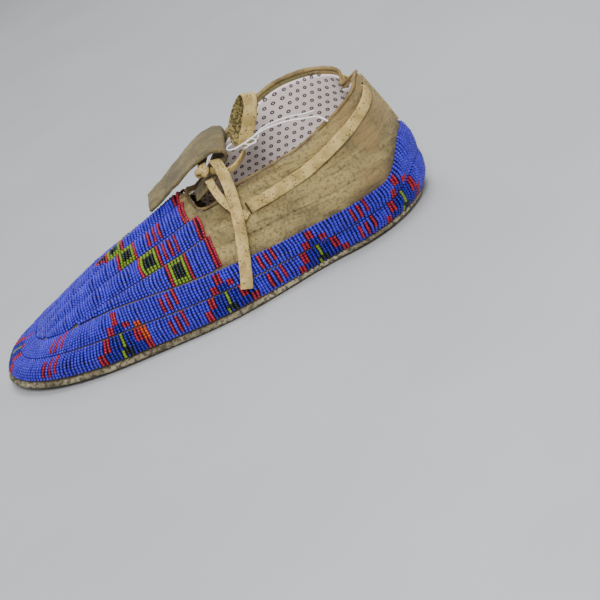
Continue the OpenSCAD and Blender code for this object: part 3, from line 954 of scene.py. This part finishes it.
def vamp_beads(index, palette):
    sizes = bpy.context.scene.moccasin_sizes
    pitch = sizes.row_pitch / MM
    long = sizes.bead_long / MM
    lane = index - 3
    rows = vamp_rows(index)
    block = min(range(len(rows)), key=lambda i: abs(rows[i][0] - BLOCK_Y[abs(lane)]))
    beads = []
    for i, (y, low, high, cut) in enumerate(rows):
        count = round((high - low) / long)
        if count < 1:
            continue
        half = (high - low) / count / 2
        sway = 1.2 * waver((lane * 40, y, 0), 9, 3.0) + 0.5 * waver((lane * 40, y, 0), 3, 5.0)
        shade = 1 + 0.3 * waver((lane * 50, y * 2, 0), 2.3)
        loose = 1.2 if (i == len(rows) - 1 and lane in (0, 2)) else 0.0
        for j in range(count):
            share = (j + 0.5) / count
            hump = math.sin(math.pi * share)
            d = low + (high - low) * share
            shift = sway * hump + 0.22 * waver((d, y, lane), 5, 1.0) + loose * hump * pitch / 2
            here = Vamp(y + shift, 24) if abs(shift) > 0.5 else cut
            height = GAP + BEAD_T / 2 + 1.15 * (hump - 0.6) * ease((i + 1) / 9) + 0.16 * waver((d, y, 5), 4)
            centre = here.lifted(d, height) + Vector((0, shift if here is cut else 0, 0))
            thread = cut.lifted(d + 0.6, height) - cut.lifted(d - 0.6, height)
            out = cut.lifted(d, 2) - cut.lifted(d, 0)
            colour = vamp_colour(lane, i - block, share, len(rows) - 1 - i, palette)
            beads.append((centre, thread, out, half, [c * shade for c in colour]))
    return beads


def border_stations(side):
    return stations(side, 160, 14)


def border_rows(side, level):
    """The rows of one side of a border lane: (length from the toe, station)."""
    sizes = bpy.context.scene.moccasin_sizes
    pitch = sizes.row_pitch / MM
    dense = border_stations(side)
    middles = []
    for s in dense:
        w = border_w(s[0])
        middles.append(Wall(side, s).lifted(BEAD_FOOT + w + SEAM_W / 2, GAP + BEAD_T / 2))
    line = Line(middles)
    count = round(line.length / pitch)
    step = line.length / count
    first, last = (0, count) if side > 0 else (1, count - 1)
    rows = []
    for i in range(first, last + 1):
        d = min(i * step, line.length - 1e-6)
        k = min(bisect_right(line.runs, d) - 1, len(dense) - 2)
        u = (d - line.runs[k]) / max(line.runs[k + 1] - line.runs[k], 1e-9)
        a, b = dense[k], dense[k + 1]
        rows.append((i * step, [mix(p, q, u) for p, q in zip(a[:4], b[:4])] + [a[4]]))
    return rows


def border_beads(level, palette):
    sizes = bpy.context.scene.moccasin_sizes
    pitch = sizes.row_pitch / MM
    long = sizes.bead_long / MM
    beads = []
    for side in (1, -1):
        rows = border_rows(side, level)
        walls = [Wall(side, s) for _, s in rows]
        for i, (length, s) in enumerate(rows):
            w = border_w(s[0])
            d0 = BEAD_FOOT + level * (w + SEAM_W)
            wall = walls[i]
            after = walls[min(i + 1, len(walls) - 1)]
            before = walls[max(i - 1, 0)]
            count = max(1, round(w / long))
            half = w / count / 2
            shade = 1 + 0.3 * waver((length * 2, level * 50, side * 9), 2.3)
            for j in range(count):
                share = (j + 0.5) / count
                d = d0 + w * share
                hump = math.sin(math.pi * share)
                run = (after.at(d) - before.at(d)).normalized()
                shift = waver((length, level * 30, side * 9), 8) * hump + 0.3 * waver((length, d, side), 3)
                height = GAP + BEAD_T / 2 + 1.1 * (hump - 0.6) + 0.2 * waver((length, d, side + 4), 4)
                centre = wall.lifted(d, height) + run * shift
                thread = wall.lifted(d + 0.6, height) - wall.lifted(d - 0.6, height)
                colour = border_colour(level, side, length, share, pitch, palette)
                beads.append((centre, thread, wall.outward(d), half, [c * shade for c in colour]))
    return beads


# ---- Hide, lining and sole ----


def upper_side(bm, side):
    """One side of the upper from toe to heel; its UV map gives the run and the height over the beads."""
    table = []
    uvs = []
    run = 0.0
    last = None
    for s in stations(side, UPPER_FRONT, 9):
        wall = Wall(side, s, n=48)
        top = border_top(s[0])
        here = wall.at(min(top, wall.length))
        run += (here - last).length if last else 0.0
        last = here
        column = []
        marks = []
        for j in range(UPPER_UP + 1):
            d = wall.length * j / UPPER_UP
            p = wall.at(d)
            soft = s[4] * ease((d - top - 1) / 6) * ease((wall.length - d) / 5) * ease((1 - s[0]) / 0.06)
            fold = 1.5 * waver((p.x * 0.4, p.y * 0.4, p.z * 1.6), 10, side) + 0.6 * waver(p, 5, 7.0) - 0.25
            crease = -0.35 * math.exp(-(((wall.length - d - 3.2) / 0.9) ** 2)) * s[4]
            near_sole = ease(1 - (d - top) / 22)
            ripple = (0.7 + 1.2 * near_sole) * waver((p.x * 0.15, p.y * 0.12, p.z), 3.4, side + 5)
            column.append(p + wall.outward(d) * (soft * (fold * 0.9 + ripple) + crease))
            marks.append((run, d - top))
        table.append(column)
        uvs.append(marks)
    drape(bm, table, uvs)
    return [column[-1] for column in table[: UPPER_FRONT + 1]]


def lace_table(route, flat, width, thick, steps):
    """Sections of a flat lace along a route, and its middle line."""
    line = smooth_route(route, steps)
    last = len(line) - 1
    table = []
    for i, p in enumerate(line):
        run = (line[min(i + 1, last)] - line[max(i - 1, 0)]).normalized()
        f = Vector(flat[0]).lerp(Vector(flat[1]), i / last)
        across = (f - run * f.dot(run)).normalized()
        up = run.cross(across)
        w = width / 2 * (1 + 0.07 * waver(p, 6, 2.0) + 0.03 * waver(p, 2.5, 5.0))
        t = thick / 2 * (1 + 0.12 * waver(p, 4, 1.0))
        cup = 0.35 * waver(p, 9, 4.0)
        ring = section(LACE_SIDES, LACE_SQUARE)
        table.append([p + across * x * w + up * (z * t + cup * (x * x - 0.5)) for x, z in ring])
    return table, line


def make_lace(name, route, flat, width, material, steps=12, **settings):
    table, line = lace_table(route, flat, width, LACE_T, steps)
    round_lace = [UV_MM * k / LACE_SIDES for k in range(LACE_SIDES + 1)]
    uvs = [[(run, k) for k in round_lace] for run in Line(line).runs]
    return make_closed(name, material, [table], uvs, slot="lace", **settings), line


def thread_line():
    """The ring round the lace's loop and the long tail of the tag thread."""
    ring = []
    for i in range(57):
        a = 2 * math.pi * i * 6 / 360
        turn = Vector((RING_R[0] * math.cos(a), RING_R[1] * math.sin(a), RING_RISE * (i * 6 / 168 - 1)))
        ring.append(RING_AT + turn)
    return ring + smooth_route(TAIL_ROUTE, 10)


def tube(line, radius, sides=8):
    """Sections of a round cord along a line, with an even twist."""
    last = len(line) - 1
    across = None
    table = []
    for i, p in enumerate(line):
        run = (line[min(i + 1, last)] - line[max(i - 1, 0)]).normalized()
        across = across or run.cross(Vector((0.1, 0.2, 1)))
        across = (across - run * across.dot(run)).normalized()
        up = run.cross(across)
        table.append([p + (across * x + up * z) * radius for x, z in section(sides)])
    return table


# ---- Operators ----


class MOCCASIN_OT_camera(Operator):
    """Sets up the camera on the outer side, above the toe"""

    bl_idname = "moccasin.camera"
    bl_label = "Camera"

    def execute(self, context):
        camera = add_object("camera", bpy.data.cameras.new("camera"))
        camera.data.lens = context.scene.moccasin_sizes.lens / MM
        camera.data.sensor_width = SENSOR_MM
        camera.data.clip_start = 0.01
        angles = (CAMERA_AZIMUTH, CAMERA_ELEVATION, CAMERA_ROLL)
        azimuth, elevation, roll = (math.radians(a) for a in angles)
        back = Vector((
            math.sin(azimuth) * math.cos(elevation),
            -math.cos(azimuth) * math.cos(elevation),
            math.sin(elevation),
        ))
        ahead = -back
        right = ahead.cross(Vector((0, 0, 1))).normalized()
        down = ahead.cross(right)
        turned_right = right * math.cos(roll) - down * math.sin(roll)
        turned_down = right * math.sin(roll) + down * math.cos(roll)
        camera.matrix_world = Matrix((turned_right, -turned_down, back)).transposed().to_4x4()
        camera.location = CAMERA_AT * MM
        context.scene.camera = camera
        return {"FINISHED"}


class MOCCASIN_OT_cords(Operator):
    """Makes the lace's free end, the loop of the bow and the tag thread"""

    bl_idname = "moccasin.cords"
    bl_label = "Free lace and thread"

    def execute(self, context):
        palette = context.scene.moccasin_palette
        lace = lace_finish("lace_hide", palette)
        end_flat = ((-0.5, 1, -0.4), (-0.2, 1, -0.35))
        end, line = make_lace(
            "lace_tail", END_ROUTE, end_flat, LACE_W, lace, body="lace_tail", nodes=["lace_end"]
        )
        two_faced = lace_finish("lace_two_faced", palette, flesh=True)
        loop, line = make_lace(
            "bow_loop", LOOP_ROUTE, LOOP_FLAT, LOOP_W, two_faced, body="loop", nodes=["lace_loop"]
        )
        line = thread_line()
        cotton = thread_finish("thread_cotton", palette)
        tail = [tube(line, THREAD_D / 2)]
        thread = make_closed("thread_tail", cotton, tail, nodes=["tag_thread"], slot="thread")
        loose = (smooth_route(route, 10) for route in (SECOND_TAIL_ROUTE, THREAD_BOW_ROUTE))
        thin = [tube(route, THREAD_D / 2 * 0.8, 6) for route in loose]
        bow = make_closed("thread_bow", cotton, thin, slot="thread")
        return {"FINISHED"}


class MOCCASIN_OT_studio(Operator):
    """Lays the pale floor and hangs soft lights"""

    bl_idname = "moccasin.studio"
    bl_label = "Studio"

    def execute(self, context):
        palette = context.scene.moccasin_palette
        bm = bmesh.new()
        bmesh.ops.create_circle(bm, cap_ends=True, segments=96, radius=FLOOR_RADIUS)
        mesh = bpy.data.meshes.new("floor")
        bm.to_mesh(mesh)
        bm.free()
        mesh.materials.append(floor_finish("floor_paint", palette))
        floor = add_object("floor", mesh)
        world = bpy.data.worlds.new("studio")
        world.use_nodes = True
        background = world.node_tree.nodes["Background"]
        background.inputs["Color"].default_value = SKY_COLOUR
        background.inputs["Strength"].default_value = SKY_STRENGTH
        context.scene.world = world
        for name, place, size, watts in LAMPS:
            lamp = bpy.data.lights.new(name, "AREA")
            lamp.shape = "DISK"
            lamp.size = size
            lamp.energy = watts
            holder = add_object(name, lamp)
            holder.location = place
            aim = LAMPS_LOOK_AT - Vector(place)
            holder.rotation_euler = aim.to_track_quat("-Z", "Y").to_euler()
        return {"FINISHED"}


class MOCCASIN_OT_sole(Operator):
    """Cuts the rawhide sole, with a rounded, uneven edge"""

    bl_idname = "moccasin.sole"
    bl_label = "Sole"

    def execute(self, context):
        palette = context.scene.moccasin_palette
        levels = (
            (-CURL_W, 0, 0), (-6, 0.34, 0), (-3, 0.72, 0), (-1, 0.96, 0.15), (-0.2, 1, 0.7), (0.1, 1, 1.5),
            (-0.2, 1, 2.3), (-1, 1, 2.85), (-3, 1, 3), (-CURL_W, 1, 3), (-18, 1, 3), (-27, 1, 3), (-34, 1, 3),
        )

        def edge(side, t, level):
            off, share, up = level
            fore = ease((60 - outline(t, off).y) / 100)
            p = outline(t, off + 1.1 * clamp((off + 4) / 3) * fore)
            x = side * p.x + mid_x(p.y)
            rough = 0.45 * waver((x, p.y, up * 4), 7) + 0.3 * waver((x, p.y, up * 5), 2.4, 3.0)
            loose = clamp((off + 6) / 5)
            z = share * lift(p.y) + up + 0.35 * loose * rough * (0 if up == 0 else 1)
            out = Vector((side * p.x, p.y - hub(t).y)).normalized() * rough * loose * 0.7
            return Vector((x + out.x, p.y + out.y, max(z, 0)))

        table = []
        for i in range(2 * SOLE_STEPS + 1):
            t = i / SOLE_STEPS
            side, t = (1, t) if t <= 1 else (-1, 2 - t)
            table.append([edge(side, t, level) for level in levels])
        rawhide = rawhide_finish("rawhide", palette)
        make_closed("sole_rawhide", rawhide, [table], nodes=["sole"], slot="rawhide")
        return {"FINISHED"}


class MOCCASIN_OT_upper(Operator):
    """Shapes the hide upper, its rolled edge and the welt at the heel"""

    bl_idname = "moccasin.upper"
    bl_label = "Hide upper"

    def execute(self, context):
        palette = context.scene.moccasin_palette
        bm = bmesh.new()
        right = upper_side(bm, 1)
        left = upper_side(bm, -1)
        drape(bm, [right, left], [[(0, 30)] * (UPPER_FRONT + 1)] * 2)
        weld(bm, SEAM_WELD)
        turn_out(bm)
        bmesh.ops.dissolve_degenerate(bm, edges=bm.edges, dist=1e-6)
        thicken(bm, HIDE_T)
        hide = hide_finish("hide_smoked", palette)
        nodes = [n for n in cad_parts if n.startswith("upper")]
        make_piece(bm, "upper_hide", hide, nodes=nodes, slot="hide")
        self.roll_edge(palette)
        self.sew_heel(palette)
        return {"FINISHED"}

    def roll_edge(self, palette):
        def roll(side, s):
            o = wall_point(side, s, 0, 0.4)
            i = wall_point(side, s, 0, -HIDE_T - 0.2)
            across = (o - i) / 2
            c = (o + i) / 2 + Vector((0, 0, HEM_H / 2 + 0.1))
            fat = 0.86 + 0.22 * waver(c, 5) + 0.12 * waver(c, 1.8, 3.0)
            up = Vector((0, 0, HEM_H / 2 - 0.05))
            return [c + (across * x * 1.08 + up * z) * fat for x, z in section(RIM_SIDES, RIM_SQUARE)]

        outer = [roll(1, s) for s in rim_stations(1, 16)]
        inner = [roll(-1, s) for s in rim_stations(-1, 16)]
        edge = edge_finish("hide_edge", palette)
        make_closed("rim_roll", edge, [outer + inner[-2::-1]], nodes=["rim_hem"], slot="hide_edge")

    def sew_heel(self, palette):
        wall = Wall(1, rim_stations(1, 1)[-1], n=48)
        low = HEEL_LANE_W * 2 + 4
        table = []
        steps = 60
        for i in range(steps + 1):
            d = mix(low, wall.length - 1.5, i / steps)
            c = wall.at(d)
            out = wall.outward(d)
            pucker = 0.1 * math.cos(2 * math.pi * i / steps * 9)
            wide = Vector((1.5 + pucker, 0, 0))
            high = 1.0 + pucker / 2
            table.append([c + wide * x + out * (0.15 + high * z) for x, z in section(10)])
        hide = hide_finish("hide_welt", palette, soiled=False)
        make_closed("heel_welt", hide, [table], nodes=["heel_seam"], slot="hide_edge")


class MOCCASIN_OT_lining(Operator):
    """Hangs the printed cotton lining inside the ankle part"""

    bl_idname = "moccasin.lining"
    bl_label = "Lining"

    def execute(self, context):
        palette = context.scene.moccasin_palette
        steps, skip, n_up = 8, 2, 26

        def slice_of(side, s):
            outside = []
            inside = []
            for i in range(n_up + 1):
                a = mix(0.93, 0.03, i / n_up)
                outside.append(wall_point(side, s, a, -HIDE_T - GAP))
                p = wall_point(side, s, a, -HIDE_T - GAP - LINING_T)
                centre = Vector((mid_x(p.y), HEEL_Y - 20, p.z))
                slack = 0.6 * (1 + waver((p.x, p.y, p.z * 0.35), 9, side)) * math.sin(math.pi * i / n_up)
                inside.append(p + (centre - p).normalized() * slack)
            return outside, inside

        columns = [slice_of(1, s) for s in rim_stations(1, steps)[skip:]]
        columns += [slice_of(-1, s) for s in rim_stations(-1, steps)[-2 : skip - 1 : -1]]
        table = []
        uvs = []
        run = 0.0
        for i, (outside, inside) in enumerate(columns):
            if i:
                run += (inside[n_up // 2] - columns[i - 1][1][n_up // 2]).length
            up = Line(inside).runs
            table.append(outside + inside[::-1] + [outside[0]])
            marks = [(run, h) for h in up]
            uvs.append(marks + marks[::-1] + [marks[0]])
        cotton = cotton_finish("cotton_print", palette)
        piece = make_closed("lining_cotton", cotton, [table], uvs, nodes=["lining"], slot="cotton_print")
        tall = sum(Line(c[1]).length for c in columns) / len(columns)
        return {"FINISHED"}


class MOCCASIN_OT_tongue(Operator):
    """Folds the hide tongue forward over the end of the vamp"""

    bl_idname = "moccasin.tongue"
    bl_label = "Tongue"

    def execute(self, context):
        palette = context.scene.moccasin_palette
        half_t = TONGUE_T / 2
        spine = []
        for i in range(17):
            u = i / 16
            half = mix(8.5, 15, clamp(u * 1.4))
            c = mix(2, 2.5, u)
            z = mix(55, FOLD_Z - 3.6, power(u, 1.15)) - half_t
            spine.append((mix(16, FOLD_Y - 1, u), z, z, c + half, c - half, mix(1.5, 2.5, u)))
        base_end = spine[-1]
        crease = (FOLD_Y + 0.5, FOLD_Z - 0.3)
        profile = smooth((crease, (38, 76.8), (33, 76), (24, 73), (12, 67.2), (0, 61.4), (-9, 57.4)), 6)
        last = len(profile) - 1
        flap = []
        for i, (y, z) in enumerate(profile):
            u = i / last
            flap.append((
                y, z - half_t - 0.5 * u, z - half_t + 2.5 * u,
                mix(20, 5, u**1.3), mix(-17, -11, u), mix(0.8, 0.2, u),
            ))
        for i in range(1, 6):
            a = math.pi * i / 6
            u = i / 6
            y = mix(base_end[0], flap[0][0], u) + 1.3 * math.sin(a)
            z = mix(base_end[1], flap[0][1], ease(u))
            spine.append((y, z, z, *(mix(base_end[k], flap[0][k], u) for k in (3, 4, 5))))
        table = []
        for y, near_z, far_z, near_x, far_x, sag in spine + flap:
            row = []
            for k in range(TONGUE_ACROSS + 1):
                u = k / TONGUE_ACROSS
                p = Vector((mix(near_x, far_x, u), y, mix(near_z, far_z, u) - sag * (2 * u - 1) ** 2))
                free = 1 if y < 38 else 0.2
                curl = (0.7 * waver((p.x, p.y * 0.7, 0), 8, 6.0) + 0.3 * waver(p, 3.5)) * free
                edge = 1.1 * waver((u * 9, p.y, 3), 5) * (2 * abs(u - 0.5)) ** 4
                row.append(p + Vector((edge, 0, curl)))
            table.append(row)
        bm = bmesh.new()
        drape(bm, table)
        turn_out(bm)
        thicken(bm, TONGUE_T)
        weld(bm)
        turn_out(bm)
        hide = hide_finish("hide_tongue", palette, False, palette.tongue_pale, palette.tongue_dark)
        nodes = ["tongue_base", "tongue_flap"]
        piece = make_piece(bm, "tongue_hide", hide, body=None, nodes=nodes, slot="hide")
        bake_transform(piece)
        return {"FINISHED"}


class MOCCASIN_OT_lace(Operator):
    """Threads the hide lace round the sides, over the tongue and into its knot"""

    bl_idname = "moccasin.lace"
    bl_label = "Lace"

    def execute(self, context):
        palette = context.scene.moccasin_palette
        lace = lace_finish("lace_hide_worn", palette)
        slit = slit_finish("hide_slit", palette)
        for side, node in ((1, "lace_side_outer"), (-1, "lace_side_inner")):
            self.side_run(side, node, lace, slit)
        fronts = (
            ("lace_front_near", OUTER_FRONT_ROUTE, (0, 1, -0.3), OUTER_FRONT_W, "lace_front_outer"),
            ("lace_front_far", INNER_FRONT_ROUTE, (0, 1, 0), INNER_FRONT_W, "lace_front_inner"),
        )
        for name, route, flat, width, node in fronts:
            make_lace(name, route, (flat, flat), width, lace, nodes=[node])
        self.knot(lace)
        return {"FINISHED"}

    def side_run(self, side, node, lace, slit):
        steps = 8
        first, last = 4 * steps, 11 * steps
        rims = rim_stations(side, steps)
        table = []
        for i in range(first, last + 1):
            u = (i - first) / (last - first)
            wall = Wall(side, rims[i])
            d = wall.length - mix(*SIDE_INSET, u)
            dive = 2.6 * (ease(1 - u / 0.03) + ease(1 - (1 - u) / 0.03))
            mid = wall.lifted(d, 0)
            wide = LACE_W / 2 * (1 + 0.06 * waver(mid, 7, 2.0))
            wave = 0.35 * math.sin(u * math.pi) * (1 + waver(mid, 8))
            off = GAP + LACE_T / 2 + wave - dive
            ring = section(LACE_SIDES, LACE_SQUARE)
            table.append([wall.lifted(d + x * wide, off + z * LACE_T / 2) for x, z in ring])
        make_closed(node.replace("lace_side", "lace_run"), lace, [table], nodes=[node], slot="lace")
        slits = []
        reach = LACE_W / 2 + 0.2
        for i, inset in zip((first, last), SIDE_INSET):
            wall = Wall(side, rims[i])
            low = wall.length - inset - reach
            slits.append(tube([wall.lifted(low + 2 * reach * k / 8, 0.35) for k in range(9)], 0.4))
        make_closed(node.replace("lace_side", "lace_slits"), slit, slits, slot="hide_edge")

    def knot(self, lace):
        line = []
        for i in range(97):
            a = 2 * math.pi * i / 96
            line.append(KNOT_AT + Vector((
                1.25 * (math.sin(a) + 2 * math.sin(2 * a)) * 0.78,
                1.35 * (math.cos(a) - 2 * math.cos(2 * a)) * 0.92,
                -1.5 * math.sin(3 * a),
            )))
        table = []
        n = len(line) - 1
        for i, p in enumerate(line):
            run = (line[(i + 1) % n] - line[(i - 1) % n]).normalized()
            out = (p - KNOT_AT + Vector((0, 0, 0.8))).normalized()
            across = run.cross(out).normalized()
            up = across.cross(run)
            table.append([p + across * x * 1.7 + up * z * 0.8 for x, z in section(12)])
        tail, _ = lace_table(KNOT_ROUTE, ((0.5, 0.5, 1), (0.3, 0.3, 1)), KNOT_TAIL_W, LACE_T, 10)
        make_closed("knot", lace, [table, tail], nodes=["lace_knot"], slot="lace")


class MOCCASIN_OT_vamp_beads(Operator):
    """Sews the seven lanes of beads over the vamp"""

    bl_idname = "moccasin.vamp_beads"
    bl_label = "Beads over the vamp"

    def execute(self, context):
        palette = context.scene.moccasin_palette
        glass = bead_finish("glass_vamp", palette)
        gap_shade = gap_shade_finish("gap_shade_vamp", palette)
        bm = bmesh.new()
        for index in range(7):
            beads = vamp_beads(index, palette)
            string_beads(f"beads_vamp_{index + 1}", beads, glass, f"vamp_lane_{index + 1}")
            # Under each lane, a dark sheet of painted shade for the gaps between the rows.
            rows = [row for row in vamp_rows(index)[::2] if row[2] - row[1] > 1]
            drape(bm, [gap_shade_row(cut, low, high) for _, low, high, cut in rows])
        turn_out(bm)
        thicken(bm, GAP_SHADE_T)
        turn_out(bm)
        make_piece(bm, "gap_shade_sheet_vamp", gap_shade)
        return {"FINISHED"}


class MOCCASIN_OT_border_beads(Operator):
    """Sews the two lanes of beads round the whole shoe"""

    bl_idname = "moccasin.border_beads"
    bl_label = "Beads of the border"

    def execute(self, context):
        palette = context.scene.moccasin_palette
        glass = bead_finish("glass_border", palette)
        gap_shade = gap_shade_finish("gap_shade_border", palette)
        bm = bmesh.new()
        for level, node in enumerate(("border_lane_lower", "border_lane_upper")):
            beads = border_beads(level, palette)
            string_beads(node.replace("border_lane", "beads_border"), beads, glass, node)
            # Under each lane, a dark sheet of painted shade for the gaps between the rows.
            for side in (1, -1):
                table = []
                for s in stations(side, 60, 8):
                    w = border_w(s[0])
                    low = BEAD_FOOT + level * (w + SEAM_W)
                    table.append(gap_shade_row(Wall(side, s), low, low + w))
                drape(bm, table)
        weld(bm)
        turn_out(bm)
        thicken(bm, GAP_SHADE_T)
        turn_out(bm)
        make_piece(bm, "gap_shade_sheet_border", gap_shade)
        return {"FINISHED"}


OPERATORS = (
    MOCCASIN_OT_camera,
    MOCCASIN_OT_cords,
    MOCCASIN_OT_studio,
    MOCCASIN_OT_sole,
    MOCCASIN_OT_upper,
    MOCCASIN_OT_lining,
    MOCCASIN_OT_tongue,
    MOCCASIN_OT_lace,
    MOCCASIN_OT_vamp_beads,
    MOCCASIN_OT_border_beads,
)


class MOCCASIN_PT_panel(Panel):
    """Lists the settings and the pieces"""

    bl_idname = "MOCCASIN_PT_panel"
    bl_label = "Beaded Moccasin"
    bl_space_type = "VIEW_3D"
    bl_region_type = "UI"
    bl_category = "Moccasin"

    def draw(self, context):
        for group in (context.scene.moccasin_sizes, context.scene.moccasin_palette):
            for name in group.__annotations__:
                self.layout.prop(group, name)
        for operator in OPERATORS:
            self.layout.operator(operator.bl_idname)


CLASSES = (MoccasinPalette, MoccasinSizes, *OPERATORS, MOCCASIN_PT_panel)


def register():
    for cls in CLASSES:
        bpy.utils.register_class(cls)
    bpy.types.Scene.moccasin_palette = PointerProperty(type=MoccasinPalette)
    bpy.types.Scene.moccasin_sizes = PointerProperty(type=MoccasinSizes)


def unregister():
    del bpy.types.Scene.moccasin_sizes
    del bpy.types.Scene.moccasin_palette
    for cls in reversed(CLASSES):
        bpy.utils.unregister_class(cls)


def main():
    register()
    for operator in OPERATORS:
        group, name = operator.bl_idname.split(".")
        getattr(getattr(bpy.ops, group), name)()


if __name__ == "__main__":
    main()
